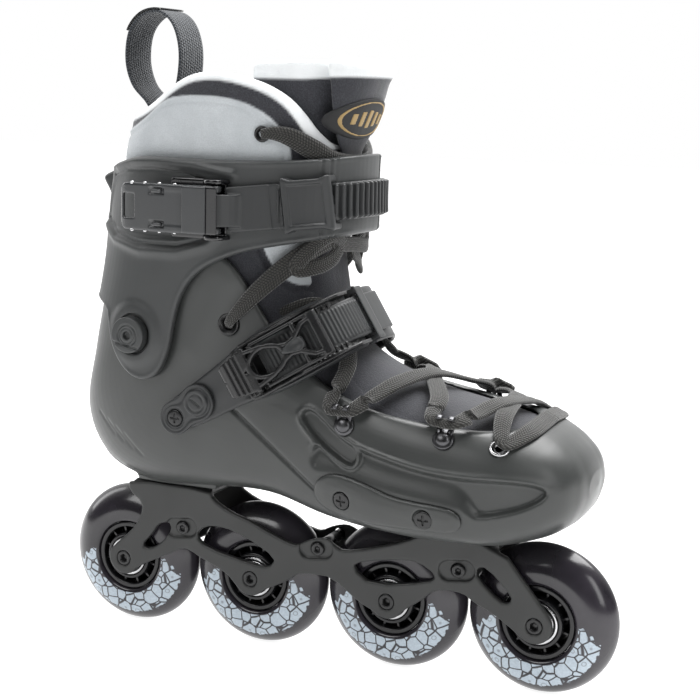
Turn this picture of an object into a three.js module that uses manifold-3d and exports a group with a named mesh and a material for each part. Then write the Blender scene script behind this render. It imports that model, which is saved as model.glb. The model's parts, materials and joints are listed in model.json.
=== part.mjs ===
// A freeskating inline skate for the right foot: a moulded shell and a flexing cuff over a padded liner,
// laced, strapped and buckled, on an aluminium frame with four wheels in line.
// Millimetres, +X to the toe, +Y to the inner (medial) side, +Z up. The origin is on the ground, half way
// between the first and the last axle, in the frame's middle plane.
import * as THREE from "three";
import { mergeVertices } from "three/addons/utils/BufferGeometryUtils.js";
import Module from "manifold-3d";

const wasm = await Module();
wasm.setup();
const { PI, abs, cos, sin, sign, max, min, hypot } = Math;
const radians = (degrees) => (degrees * PI) / 180;

// ---- driving dimensions ----
const WHEEL_R = 40;
const WHEEL_HALF = 12;
const WHEELBASE = 243;
const PITCH = WHEELBASE / 3;
const AXLE_X = [-1.5, -0.5, 0.5, 1.5].map((k) => k * PITCH);
const AXLE_Z = WHEEL_R;
const AXLE_R = 4;
const AXLE_HEAD_R = 5.4;
const BEARING = { outer: 11, inner: 4.3, width: 7 };
const CORE_R = 19.6; // the hub's rim, inside the tyre
const RUN = 0.3; // the gap between parts that turn past each other
const FIT = 0.4; // the gap between parts that touch

const FRAME_IN = 13.6; // each side wall stands between these two distances from the middle plane
const FRAME_OUT = 17.1;
const FRAME_REAR_TOP = 87;
const FRAME_FRONT_TOP = 80;
const BRACE = { x: [-84, -1, 79], z: 63, r: 3, pocket: 1.2 };
const PLATE = 4; // the thickness of the frame's two mounting plates
const FRAME_BOLT_X = [-88, 77]; // 165 mm apart
const BOLT_R = 4;
const SCREW_HOLE_R = 2.3;

const SHELL_WALL = 3.4;
const LINER_OUT = -SHELL_WALL - FIT; // depths below the boot's form
const LINER_IN = -11.8;
const CUFF_IN = 1.4; // heights above the boot's form
const CUFF_OUT = 4.8;
const CUFF_PIVOT = { x: -95, z: 176, r: 6 };
const BUCKLE_PIVOT = { x: -42, y: -58, lowZ: 232, highZ: 257 };
const INSTEP = { x: -62, z: 139, tilt: 32 }; // the instep strap's middle line in the side view

// ---- materials ----
const material = (color, roughness, metalness = 0) =>
  new THREE.MeshStandardMaterial({ color, roughness, metalness });
const FINISH = {
  shell: material(0x2b2d2e, 0.45),
  cuff: material(0x2b2d2e, 0.5),
  gloss: material(0x101012, 0.15),
  strap: material(0x202122, 0.6),
  frame: material(0x232425, 0.4, 0.5),
  steel: material(0x8d8f92, 0.3, 1),
  darkSteel: material(0x2a2a2c, 0.35, 0.9),
  tyre: material(0x17161a, 0.4),
  hub: material(0x0c0c0d, 0.3),
  liner: material(0xc9cdd0, 0.9),
  fabric: material(0x1a1a1e, 0.95),
  lace: material(0x1b1b1a, 0.95),
  foam: material(0x33363a, 0.9),
};

// ---- solids ----
const V2 = (x, y) => new THREE.Vector2(x, y);
const V3 = (x, y, z) => new THREE.Vector3(x, y, z);
const IDENTITY = new THREE.Matrix4();
const moved = (x, y, z) => new THREE.Matrix4().makeTranslation(x, y, z);

function solid(geometry, matrix = IDENTITY) {
  const bare = geometry.index ? geometry.toNonIndexed() : geometry;
  const shape = new THREE.BufferGeometry();
  shape.setAttribute("position", bare.getAttribute("position").clone());
  shape.applyMatrix4(matrix);
  const merged = mergeVertices(shape, 1e-4);
  const vertProperties = merged.getAttribute("position").array;
  const corners = [];
  for (let i = 0; i < merged.index.count; i += 3) {
    const [a, b, c] = [0, 1, 2].map((k) => merged.index.getX(i + k));
    if (a !== b && b !== c && c !== a) corners.push(a, b, c);
  }
  const body = (list) =>
    new wasm.Manifold(new wasm.Mesh({ numProp: 3, vertProperties, triVerts: new Uint32Array(list) }));
  const made = body(corners);
  if (made.volume() > 0) return made;
  return body(corners.map((_, i) => corners[i - (i % 3) + [0, 2, 1][i % 3]]));
}

function geometryOf(manifold) {
  const mesh = manifold.getMesh();
  const points = new Float32Array(mesh.numVert * 3);
  for (let i = 0; i < mesh.numVert; i++)
    points.set(mesh.vertProperties.subarray(i * mesh.numProp, i * mesh.numProp + 3), i * 3);
  return new THREE.BufferGeometry()
    .setAttribute("position", new THREE.BufferAttribute(points, 3))
    .setIndex(new THREE.BufferAttribute(mesh.triVerts, 1));
}

const union = (...parts) => parts.reduce((a, b) => a.add(b));
const shapeOf = (outline) =>
  outline instanceof THREE.Shape ? outline : new THREE.Shape(outline.map((p) => V2(...p)));

// An outline (u, v) carried from w0 to w1 in the given frame.
function carried(outline, w0, w1, frame = IDENTITY) {
  const options = { depth: w1 - w0, bevelEnabled: false, curveSegments: 4 };
  const geometry = new THREE.ExtrudeGeometry(shapeOf(outline), options);
  return solid(geometry, frame.clone().multiply(moved(0, 0, w0)));
}

// A side-view outline (x, z) carried from y0 to y1.
const SIDE_VIEW = new THREE.Matrix4().makeBasis(V3(1, 0, 0), V3(0, 0, 1), V3(0, -1, 0));
const sideways = (outline, y0, y1) => carried(outline, -y1, -y0, SIDE_VIEW);

// A turned solid about the line along Y through (x, z). The profile is (radius, y).
function turned(profile, x, z, segments) {
  const geometry = new THREE.LatheGeometry(profile.map((p) => V2(...p)), segments);
  return solid(geometry, moved(x, 0, z));
}

const disc = (radius, x, z, y0, y1, segments = 12) =>
  turned([[0, y0], [radius, y0], [radius, y1], [0, y1]], x, z, segments);

const ring = (inner, outer, x, z, y0, y1, segments = 16) =>
  turned([[inner, y0], [outer, y0], [outer, y1], [inner, y1], [inner, y0]], x, z, segments);

// The same pin standing along Z.
function post(radius, x, y, z0, z1, segments = 12) {
  const geometry = new THREE.CylinderGeometry(radius, radius, z1 - z0, segments);
  return solid(geometry, moved(x, y, (z0 + z1) / 2).multiply(new THREE.Matrix4().makeRotationX(PI / 2)));
}

function box([x0, x1], [y0, y1], [z0, z1], frame = IDENTITY) {
  const geometry = new THREE.BoxGeometry(x1 - x0, y1 - y0, z1 - z0);
  const middle = moved((x0 + x1) / 2, (y0 + y1) / 2, (z0 + z1) / 2);
  return solid(geometry, frame.clone().multiply(middle));
}

const onSide = (side, near, far) => (side < 0 ? [-far, -near] : [near, far]);

// ---- the boot's form ----
// Ribs from the toe to the collar. Each lies in a plane across the side view, from a point on the sole or
// heel to a point on the instep or shin. half is its half width, low and high say how square its two ends
// are (2 is an ellipse), and shift moves it towards the inner side.
const RIBS = [
  { out: [144.5, 106], in: [145, 120], half: 14, low: 2.2, high: 2.2, shift: 4 },
  { out: [141, 98], in: [142, 127], half: 24, low: 2.4, high: 2.2, shift: 4 },
  { out: [135, 92], in: [137, 133], half: 33, low: 2.8, high: 2.2, shift: 3 },
  { out: [123, 87], in: [127, 140], half: 41, low: 3.6, high: 2.3, shift: 2.5 },
  { out: [103, 83], in: [110, 147], half: 48, low: 4.4, high: 2.3, shift: 2 },
  { out: [75, 82], in: [84, 153], half: 50, low: 4.4, high: 2.3, shift: 1 },
  { out: [42, 81.5], in: [54, 160], half: 49, low: 4, high: 2.3, shift: 0 },
  { out: [10, 84], in: [30, 170], half: 46, low: 3.6, high: 2.3, shift: 0 },
  { out: [-26, 91], in: [15, 181], half: 44, low: 3.2, high: 2.4, shift: 0 },
  { out: [-66, 90], in: [8, 194], half: 43.5, low: 3.2, high: 2.6, shift: 0 },
  { out: [-104, 88], in: [6, 207], half: 44, low: 2.8, high: 2.8, shift: 0 },
  { out: [-133, 98], in: [4, 218.5], half: 44.5, low: 2.5, high: 3, shift: 0 },
  { out: [-147, 124], in: [4, 229], half: 45, low: 2.3, high: 3, shift: 0 },
  { out: [-142, 158], in: [6, 240], half: 45.5, low: 2.3, high: 3, shift: 0 },
  { out: [-137, 184], in: [8, 250], half: 45.5, low: 2.3, high: 3, shift: 0 },
  { out: [-132, 212], in: [10, 261], half: 45.5, low: 2.3, high: 2.8, shift: 0 },
  { out: [-129, 240], in: [13, 274], half: 45.5, low: 2.3, high: 2.7, shift: 0 },
  { out: [-125, 268], in: [19, 289], half: 46, low: 2.3, high: 2.7, shift: 0 },
  { out: [-121, 294], in: [25, 306], half: 46.5, low: 2.3, high: 2.7, shift: 0 },
  { out: [-117, 330], in: [30, 334], half: 47, low: 2.3, high: 2.7, shift: 0 },
];
const RIB_POINTS = 20;
const TOE_RIBS = [1, 0.8, 0.5]; // how far the first ribs are drawn back with the wall's depth

// One rib as a ring of points, moved outwards by grow.
function ribRing(rib, grow, back) {
  const [ox, oz] = rib.out;
  const [ix, iz] = rib.in;
  const length = hypot(ix - ox, iz - oz);
  const ex = (ix - ox) / length;
  const ez = (iz - oz) / length;
  const reach = max(length / 2 + grow, 1);
  const half = max(rib.half + grow, 1);
  return Array.from({ length: RIB_POINTS }, (_, i) => {
    const a = (2 * PI * i) / RIB_POINTS;
    const power = 2 / (cos(a) > 0 ? rib.high : rib.low);
    const along = reach * sign(cos(a)) * abs(cos(a)) ** power;
    const across = half * sign(sin(a)) * abs(sin(a)) ** power;
    return [(ox + ix) / 2 + ex * along - back, rib.shift + across, (oz + iz) / 2 + ez * along];
  });
}

// A closed body through rings of equal length.
function loft(rings) {
  const n = rings[0].length;
  const last = (rings.length - 1) * n;
  const points = rings.flat();
  const middle = (list) => [0, 1, 2].map((k) => list.reduce((s, p) => s + p[k], 0) / n);
  points.push(middle(rings[0]), middle(rings[rings.length - 1]));
  const faces = [];
  for (let i = 0; i < n; i++) {
    const j = (i + 1) % n;
    for (let r = 0; r < last; r += n) faces.push(r + i, r + j, r + n + i, r + j, r + n + j, r + n + i);
    faces.push(points.length - 2, j, i, points.length - 1, last + i, last + j);
  }
  const geometry = new THREE.BufferGeometry();
  geometry.setAttribute("position", new THREE.Float32BufferAttribute(points.flat(), 3));
  geometry.setIndex(faces);
  return solid(geometry);
}

// The form grown outwards, from one rib to another.
function bootForm(grow, first = 0, last = RIBS.length - 1) {
  const rings = [];
  for (let i = first; i <= last; i++) rings.push(ribRing(RIBS[i], grow, -grow * (TOE_RIBS[i] ?? 0)));
  return loft(rings);
}

// A wall that follows the form between two heights above it.
const wall = (low, high, first, last) => bootForm(high, first, last).subtract(bootForm(low, first, last));

// The point on the form at a place along its ribs, at an angle from the instep round to the outer (minus)
// or inner (plus) side, and at a height above it.
function formPoint([along, degrees, height]) {
  const i = min(Math.floor(along), RIBS.length - 2);
  const t = along - i;
  const mix = (a, b) => a + (b - a) * t;
  const [p, q] = [RIBS[i], RIBS[i + 1]];
  const o = [mix(p.out[0], q.out[0]), mix(p.out[1], q.out[1])];
  const e = [mix(p.in[0], q.in[0]), mix(p.in[1], q.in[1])];
  const reach = hypot(e[0] - o[0], e[1] - o[1]) / 2;
  const a = radians(degrees);
  const power = 2 / (cos(a) > 0 ? mix(p.high, q.high) : mix(p.low, q.low));
  const far = (reach + height) * sign(cos(a)) * abs(cos(a)) ** power;
  const across = (mix(p.half, q.half) + height) * sign(sin(a)) * abs(sin(a)) ** power;
  const x = (o[0] + e[0]) / 2 + ((e[0] - o[0]) / (2 * reach)) * far;
  const z = (o[1] + e[1]) / 2 + ((e[1] - o[1]) / (2 * reach)) * far;
  return V3(x, mix(p.shift, q.shift) + across, z);
}

// The y of the form's outer (-1) or inner (1) side at (x, z) in the side view.
function faceAt(x, z, side) {
  const across = (t, i) => {
    const mix = (a, b) => a + (b - a) * t;
    const [p, q] = [RIBS[i], RIBS[i + 1]];
    const o = [mix(p.out[0], q.out[0]), mix(p.out[1], q.out[1])];
    const e = [mix(p.in[0], q.in[0]), mix(p.in[1], q.in[1])];
    const length = hypot(e[0] - o[0], e[1] - o[1]);
    const d = [(e[0] - o[0]) / length, (e[1] - o[1]) / length];
    const along = ((x - o[0]) * d[0] + (z - o[1]) * d[1]) / (length / 2) - 1;
    const power = along > 0 ? mix(p.high, q.high) : mix(p.low, q.low);
    const share = max(0, 1 - abs(along) ** power) ** (1 / power);
    const y = mix(p.shift, q.shift) + side * mix(p.half, q.half) * share;
    return { off: (x - o[0]) * d[1] - (z - o[1]) * d[0], y };
  };
  for (let i = 0; i + 1 < RIBS.length; i++) {
    let [low, high] = [0, 1];
    const rising = across(1, i).off > 0;
    if (across(0, i).off > 0 === rising) continue;
    for (let k = 0; k < 20; k++) {
      const t = (low + high) / 2;
      if (across(t, i).off > 0 === rising) high = t;
      else low = t;
    }
    return across(low, i).y;
  }
  return 0;
}

// A stretch of y from near to far outwards from the form's side at (x, z).
function outwards(x, z, side, near, far) {
  const face = faceAt(x, z, side);
  return side < 0 ? [face - far, face - near] : [face + near, face + far];
}

// ---- wheels ----
function tyreProfile() {
  const side = 25.6;
  const power = 1.65;
  const points = [[CORE_R + RUN, -WHEEL_HALF + 1], [21.2, -WHEEL_HALF]];
  const steps = 4;
  for (let i = -steps; i <= steps; i++) {
    const y = WHEEL_HALF * sin((i / steps) * (PI / 2));
    const share = (1 - min(1, abs(y) / WHEEL_HALF) ** power) ** (1 / power);
    points.push([side + (WHEEL_R - side) * share, y]);
  }
  points.push([21.2, WHEEL_HALF], [CORE_R + RUN, WHEEL_HALF - 1], points[0]);
  return points;
}

function hubProfile() {
  const seat = BEARING.outer + RUN;
  const stop = WHEEL_HALF - BEARING.width + RUN;
  const half = [[7, stop], [seat, stop], [seat, WHEEL_HALF], [13.4, WHEEL_HALF], [14.4, 8.5], [CORE_R, 10.8]];
  const mirrored = half.map(([r, y]) => [r, -y]).reverse();
  return [...mirrored, ...half, mirrored[0]];
}

const bearingSpan = (side) => onSide(side, WHEEL_HALF + 0.6 - BEARING.width, WHEEL_HALF + 0.6);
const makeTyre = (x) => turned(tyreProfile(), x, AXLE_Z, 24);
const makeHub = (x) => turned(hubProfile(), x, AXLE_Z, 16);
const makeBearing = (x, side) => ring(BEARING.inner, BEARING.outer, x, AXLE_Z, ...bearingSpan(side), 16);

function makeAxle(x) {
  const shank = disc(AXLE_R, x, AXLE_Z, -FRAME_OUT - 1, FRAME_OUT + 1);
  const headSpan = (side) => onSide(side, FRAME_OUT + RUN, FRAME_OUT + 1.6);
  return union(shank, ...[-1, 1].map((side) => disc(AXLE_HEAD_R, x, AXLE_Z, ...headSpan(side))));
}

// ---- frame ----
function frameSide() {
  const shape = new THREE.Shape();
  const line = (...points) => points.forEach((p) => shape.lineTo(...p));
  const boss = (x, from, to) => shape.absarc(x, AXLE_Z, 9.8, radians(from), radians(to), true);
  shape.moveTo(-113, FRAME_REAR_TOP);
  line([-66, FRAME_REAR_TOP], [-64, 82], [-54, 76.5], [-40, 72.5], [-28, 67.5], [-16, 63.6], [-12, 63.6]);
  line([-7, 66.5], [0, 69], [6, 69], [10, 66], [15, 64], [31, 68], [51, 75], [60, FRAME_FRONT_TOP]);
  line([101, FRAME_FRONT_TOP], [122, 54.5]);
  boss(AXLE_X[3], 45, -125);
  line([109, 37], [100, 42.7], [88, 47.7], [83, 51.3], [72, 51.6], [65, 49], [61, 44.4]);
  boss(AXLE_X[2], -22, -140);
  line([24, 37.4], [9, 48.4], [-4, 48.4], [-12, 47.4], [-18, 42]);
  boss(AXLE_X[1], -30, -140);
  line([-56, 41.6], [-71, 47], [-78, 50.5], [-83, 51.5], [-93, 46]);
  boss(AXLE_X[0], -22, -215);
  line([-116.5, 57], [-110.5, 65.6], [-109, 74], [-118, 80]);
  return shape;
}

const FRAME_WINDOWS = [
  [[-110, 49], [-103, 56.5], [-99, 63], [-93, 65], [-91, 61], [-95, 54], [-104, 48]],
  [[-75, 60], [-69, 66], [-58, 67], [-44, 63.5], [-25, 54], [-29, 48.5], [-38, 48.5], [-68, 54]],
  [[20, 56], [26, 60], [48, 64.2], [58, 64.2], [68, 58.5], [64, 54.5], [32, 48]],
  [[90, 66], [95, 67], [109, 54], [108, 50], [103, 50], [90, 61]],
];

// A long hole or pocket of the given width between two points.
function slot(x0, z0, x1, z1, width) {
  const a = Math.atan2(z1 - z0, x1 - x0);
  const shape = new THREE.Shape();
  shape.absarc(x1, z1, width / 2, a - PI / 2, a + PI / 2);
  shape.absarc(x0, z0, width / 2, a + PI / 2, a + 1.5 * PI);
  return shape;
}

function makeFrame() {
  const reach = FRAME_OUT + 1;
  const sides = [-1, 1].map((side) => sideways(frameSide(), ...onSide(side, FRAME_IN, FRAME_OUT)));
  const inside = [-FRAME_IN - 1, FRAME_IN + 1];
  const rearPlate = box([-112, -66.5], inside, [FRAME_REAR_TOP - PLATE, FRAME_REAR_TOP]);
  const frontPlate = box([60.5, 100.5], inside, [FRAME_FRONT_TOP - PLATE, FRAME_FRONT_TOP]);
  let frame = union(...sides, rearPlate, frontPlate);
  for (const window of FRAME_WINDOWS) frame = frame.subtract(sideways(window, -reach, reach));
  for (const x of AXLE_X) frame = frame.subtract(disc(AXLE_R + RUN, x, AXLE_Z, -reach, reach));
  for (const x of BRACE.x) {
    frame = frame.subtract(disc(BRACE.r + RUN, x, BRACE.z, -reach, reach));
    const pocket = slot(x - 5, BRACE.z - 1, x + 5, BRACE.z + 1, 11);
    for (const side of [-1, 1])
      frame = frame.subtract(sideways(pocket, ...onSide(side, FRAME_OUT - BRACE.pocket, reach)));
  }
  for (const x of FRAME_BOLT_X) frame = frame.subtract(post(BOLT_R + RUN, x, 0, 70, 90));
  return frame;
}

function makeBrace(x) {
  const floor = FRAME_OUT - BRACE.pocket + RUN;
  const heads = [-1, 1].map((side) => disc(4.6, x, BRACE.z, ...onSide(side, floor, floor + 2), 6));
  return union(disc(BRACE.r, x, BRACE.z, -floor - 1, floor + 1), ...heads);
}

const boltTop = (x) => (x < 0 ? FRAME_REAR_TOP + 3 : FRAME_FRONT_TOP + 4);

function makeFrameBolt(x) {
  const top = x < 0 ? FRAME_REAR_TOP : FRAME_FRONT_TOP;
  const under = top - PLATE - RUN;
  const head = post(BOLT_R + 2, x, 0, under - 3, under);
  return head.add(post(BOLT_R, x, 0, under - 1, boltTop(x)));
}

// ---- shell ----
// Everything above the shell's edge in the side view: over the toe, up the ankle's flap and down behind.
// The inner side's edge stands higher over the instep.
const MEDIAL_RISE = 7;
function aboveShell(side) {
  const rise = side > 0 ? MEDIAL_RISE : 0;
  return [
    [170, 146], [122, 143.5], [98, 141 + rise / 2], [66, 143 + rise], [40, 147 + rise], [20, 153 + rise],
    [2, 163 + rise], [-15, 179 + rise / 2], [-26, 196], [-35, 212], [-45, 221], [-60, 222], [-78, 212],
    [-96, 199], [-112, 189], [-170, 185], [-170, 400], [170, 400],
  ];
}
const GUARD = [
  [10, 104], [14, 112], [26, 115], [40, 112.5], [55, 107.5], [85, 105.5], [92, 101], [92, 94], [80, 91],
  [30, 90], [14, 95],
];
const GUARD_SCREWS = [[27.4, 101], [72, 98]];
const GUARD_HEIGHT = 2.8;
const LAST_SHELL_RIB = 15;
const EYELETS = { toe: [106, 135], ankle: [-40, 185] };

function makeShell() {
  const sole = box([-112, -62], [-17, 17], [FRAME_REAR_TOP + FIT, 97]).add(
    box([58, 100], [-18, 18], [FRAME_FRONT_TOP + FIT, 90]),
  );
  const inside = bootForm(-SHELL_WALL, 0, LAST_SHELL_RIB);
  let shell = bootForm(0, 0, LAST_SHELL_RIB).add(sole).subtract(inside);
  for (const x of FRAME_BOLT_X) shell = shell.subtract(post(BOLT_R + RUN, x, 0, 70, boltTop(x) + RUN));
  for (const side of [-1, 1]) {
    const through = onSide(side, 30, 70);
    shell = shell.subtract(sideways(aboveShell(side), ...onSide(side, 0, 80)));
    shell = shell.subtract(disc(CUFF_PIVOT.r + RUN, CUFF_PIVOT.x, CUFF_PIVOT.z, ...through));
    for (const [x, z] of GUARD_SCREWS) shell = shell.subtract(disc(SCREW_HOLE_R, x, z, ...through, 8));
    for (const [x, z] of Object.values(EYELETS)) shell = shell.subtract(disc(3.3, x, z, ...through));
    shell = shell.subtract(anchorHole(side));
  }
  return shell;
}

function makeGuard(side) {
  const through = onSide(side, 20, 80);
  let guard = wall(FIT, GUARD_HEIGHT, 2, 10).intersect(sideways(GUARD, ...through));
  for (const [x, z] of GUARD_SCREWS) guard = guard.subtract(disc(SCREW_HOLE_R, x, z, ...through, 8));
  return guard;
}

function makeGuardScrew([x, z], side) {
  const head = disc(4.2, x, z, ...outwards(x, z, side, 4.4, 6), 10);
  return head.add(disc(2, x, z, ...outwards(x, z, side, -3, 5), 8));
}

function makeEyelet([x, z], side) {
  return ring(1.8, 3, x, z, ...outwards(x, z, side, -3, 0.8), 12);
}

// ---- liner, tongue and footbed ----
const ABOVE_LINER = [
  [-170, 288], [-124, 289], [-104, 291], [-90, 295], [-76, 305], [-60, 313.5], [-38, 312.5], [-20, 309],
  [-8, 305], [-1, 297], [4, 284], [4, 400], [-170, 400],
];
const AHEAD_OF_LINER = [
  [4, 284], [-1, 262], [-5, 240], [-5, 215], [0, 196], [10, 178], [24, 160], [46, 149], [76, 143],
  [102, 139], [116, 137], [170, 137], [170, 400], [3, 400],
];

function makeLiner() {
  const body = wall(LINER_IN, LINER_OUT, 0, 19);
  return body.subtract(sideways(ABOVE_LINER, -80, 80)).subtract(sideways(AHEAD_OF_LINER, -80, 80));
}

function makeTongue() {
  const front = AHEAD_OF_LINER.map(([x, z]) => (x < 130 ? [x + 1, z + 1.2] : [x, z]));
  const face = wall(-12.8, LINER_OUT - FIT, 0, 19).intersect(sideways(front, -80, 80));
  const inCollar = [[-34, 262], [60, 262], [60, 400], [-34, 400]];
  const lining = wall(-17, LINER_IN - FIT, 14, 19).intersect(sideways(inCollar, -80, 80));
  const top = [[-60, 313], [-25, 315], [5, 321], [60, 322], [60, 420], [-60, 420]];
  return face.add(lining).subtract(sideways(top, -80, 80));
}

const FOOTBED_SIDE = [
  [-150, 103.6], [-26, 103.6], [30, 98], [80, 96], [150, 97.5], [150, 101], [80, 99.5], [30, 101.6],
  [-26, 107.2], [-150, 107.2],
];
const makeFootbed = () =>
  bootForm(LINER_IN - FIT, 0, 12).intersect(sideways(FOOTBED_SIDE, -80, 80));

const LOOP_PATH = [
  [-103.6, 276], [-104, 287], [-109, 296.5], [-118, 306], [-122, 319], [-120, 334], [-112, 343], [-101, 344.5],
  [-93, 338], [-89, 325], [-90, 309], [-95, 294], [-100, 280],
];

function makePullLoop() {
  const middle = new THREE.CatmullRomCurve3(LOOP_PATH.map(([x, z]) => V3(x, 0, z))).getSpacedPoints(22);
  const half = 1.1;
  const edge = (turn) =>
    middle.map((p, i) => {
      const next = middle[min(i + 1, middle.length - 1)];
      const ahead = next.clone().sub(middle[max(i - 1, 0)]).normalize();
      return [p.x - turn * half * ahead.z, p.z + turn * half * ahead.x];
    });
  return sideways([...edge(1), ...edge(-1).reverse()], -12.5, 12.5);
}

// ---- cuff ----
const CUFF_RIBS = [
  { out: [-133, 98], in: [-6, 190], half: 45, low: 2.6, high: 2.6, shift: 0 },
  { out: [-146, 124], in: [6, 208], half: 45.5, low: 2.5, high: 2.6, shift: 0 },
  { out: [-141, 158], in: [11, 222], half: 46, low: 2.5, high: 2.6, shift: 0 },
  { out: [-134, 184], in: [14, 236], half: 46, low: 2.5, high: 2.5, shift: 0 },
  { out: [-129, 212], in: [14, 248], half: 46, low: 2.4, high: 2.4, shift: 0 },
  { out: [-126, 240], in: [14, 262], half: 46, low: 2.4, high: 2.4, shift: 0 },
  { out: [-122, 268], in: [14.5, 278], half: 46, low: 2.4, high: 2.4, shift: 0 },
  { out: [-118, 294], in: [15, 300], half: 46, low: 2.4, high: 2.4, shift: 0 },
];
const cuffForm = (grow) => loft(CUFF_RIBS.map((rib) => ribRing(rib, grow, 0)));
const cuffWall = (low, high) => cuffForm(high).subtract(cuffForm(low));

const CUFF_SIDE = [
  [-170, 191], [-118, 191], [-114, 176], [-107, 161], [-98, 153], [-88, 151], [-79, 156], [-73, 169],
  [-70, 185], [-66, 199], [-58, 210], [-47, 217], [-32, 223], [-14, 227], [4, 230], [24, 234], [60, 237],
  [60, 277], [22, 274], [0, 270], [-92, 269], [-106, 265], [-122, 262], [-170, 260],
];
const CUFF_FIN = [
  [-122, 262], [-131, 258.5], [-135, 255], [-130, 246], [-129, 240], [-133, 233], [-127, 229],
];
const STRAP_RISE = 6; // degrees by which the cuff's strap climbs to the front
const STRAP_MID = { x: -10, z: 247.5 };

function makeCuff() {
  let cuff = cuffWall(CUFF_IN, CUFF_OUT).intersect(sideways(CUFF_SIDE, -80, 80));
  cuff = cuff.add(sideways(CUFF_FIN, -15, 15));
  cuff = cuff.subtract(cuffForm(CUFF_IN));
  cuff = cuff.subtract(box([0, 60], [13, 16], [220, 290]));
  for (const side of [-1, 1])
    cuff = cuff.subtract(disc(CUFF_PIVOT.r + RUN, CUFF_PIVOT.x, CUFF_PIVOT.z, ...onSide(side, 30, 70)));
  return cuff;
}

function makePivotBolt(side) {
  const { x, z, r } = CUFF_PIVOT;
  const head = disc(9.5, x, z, ...outwards(x, z, side, 7.4, 9.6), 16);
  return head.add(disc(r, x, z, ...outwards(x, z, side, -3, 8), 12));
}

// A slab that follows the cuff's strap: u runs forward along it, v inwards, w up.
const strapFrame = new THREE.Matrix4()
  .makeRotationY(radians(-STRAP_RISE))
  .setPosition(STRAP_MID.x, 0, STRAP_MID.z);

function makeCuffLadder() {
  const band = cuffWall(5.2, 7.4);
  const lateral = box([-2, 60], [-80, 0], [-9.6, 9.6], strapFrame);
  const medial = box([-46, 60], [0, 80], [-9.6, 9.6], strapFrame);
  const end = V3(-36, 0, 0).applyMatrix4(strapFrame);
  const boss = disc(8, end.x, end.z, 52.4, 57, 12).add(disc(4.6, end.x, end.z, 56, 59.4, 12));
  return band.intersect(lateral.add(medial)).add(boss);
}

function makeBuckleBase() {
  const { x, y, lowZ, highZ } = BUCKLE_PIVOT;
  const ears = [[lowZ - 2.8, lowZ - 0.4], [highZ + 0.4, highZ + 2.8]].map((span) =>
    box([x - 6, x + 4], [y - 3, -48], span),
  );
  const plate = box([-70, x + 4], [-60, -40], [lowZ - 2.8, highZ + 2.8]);
  const base = union(cuffForm(7.2).intersect(plate), ...ears.map((ear) => ear.subtract(cuffForm(6))));
  return base.subtract(cuffForm(CUFF_OUT + FIT)).add(post(1.5, x, y, lowZ - 1, highZ + 1, 8));
}

const LEVER_PLAN = [
  [-96, -57.5], [-92, -61], [-66, -63], [-56, -63], [-56, -60.5], [-66, -60.2], [-90, -57.4],
];
const CHEEK_PLAN = [
  [-66, -63.5], [-56, -63], [-44, -61.2], [-39, -60], [-39, -55.4], [-46, -55.4], [-58, -59],
];
const KNUCKLE = { x: -49, y: -59.4 };

function makeBuckleLever() {
  const { x, y, lowZ, highZ } = BUCKLE_PIVOT;
  const plate = carried(LEVER_PLAN, lowZ + RUN, highZ - RUN);
  const spans = [[lowZ + RUN, lowZ + 4], [highZ - 4, highZ - RUN]];
  const cheeks = spans.map((span) => carried(CHEEK_PLAN, ...span));
  const grip = box([-92, -84], [-70, -50], [lowZ + 6, highZ - 6]);
  const pin = post(1.3, KNUCKLE.x, KNUCKLE.y, lowZ + 2, highZ - 2, 8);
  return union(plate, ...cheeks, pin).subtract(grip).subtract(post(1.8, x, y, 200, 300, 12));
}

function makeBuckleCatch() {
  const { lowZ, highZ } = BUCKLE_PIVOT;
  const eye = post(3, KNUCKLE.x, KNUCKLE.y, lowZ + 4.4, highZ - 4.4, 12);
  const neck = [
    [-49, -62.4], [-38.5, -62.4], [-32, -55.6], [-29, -54.6], [-29, -52.6], [-34, -53.4], [-39.5, -60.9],
    [-49, -60.9],
  ];
  const strip = cuffWall(8, 9.8).intersect(box([-21, 8], [-80, 0], [-11.4, 11.4], strapFrame));
  const link = union(eye, carried(neck, lowZ + 4.4, highZ - 4.4), strip);
  const block = cuffWall(5.6, 13).intersect(box([5, 28], [-80, -20], [-13.6, 13.6], strapFrame));
  const track = cuffForm(8).intersect(box([-60, 60], [-80, 0], [-11, 11], strapFrame));
  return link.add(block).subtract(track).subtract(post(1.6, KNUCKLE.x, KNUCKLE.y, 200, 300, 8));
}

// ---- instep strap ----
// In this frame u runs up along the strap's middle line in the side view, v inwards and w across the strap.
const instepFrame = new THREE.Matrix4()
  .makeRotationY(radians(-INSTEP.tilt))
  .setPosition(INSTEP.x, 0, INSTEP.z);
const STRAP = { start: -18, bend: 30, reach: 64, half: 45, power: 3 };
const ARM_SIDE = [
  [-6, -9], [2, -11.5], [40, -12.5], [70, -14.5], [125, -14.5], [125, 14.5], [60, 14.5], [30, 13], [0, 9.5],
  [-8, 8.5], [-16, 4], [-17, -3], [-13, -8],
];

// The strap's course round the instep in (u, v), at a height above its inner face.
function strapCourse(height) {
  const half = STRAP.half + height;
  const reach = STRAP.reach + height;
  const course = [[STRAP.start, -half]];
  const steps = 18;
  for (let i = 0; i <= steps; i++) {
    const a = ((i / steps) * 2 - 1) * (PI / 2);
    const power = 2 / STRAP.power;
    course.push([STRAP.bend + reach * cos(a) ** power, half * sign(sin(a)) * abs(sin(a)) ** power]);
  }
  course.push([STRAP.start, half]);
  return course;
}

const strapWall = (low, high) =>
  carried([...strapCourse(high), ...strapCourse(low).reverse()], -18, 18, instepFrame);

// An outline (u, w) carried across the instep from v = y0 to y1.
function instepSlab(outline, y0, y1) {
  return carried(outline, -y1, -y0, instepFrame.clone().multiply(SIDE_VIEW));
}

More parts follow.
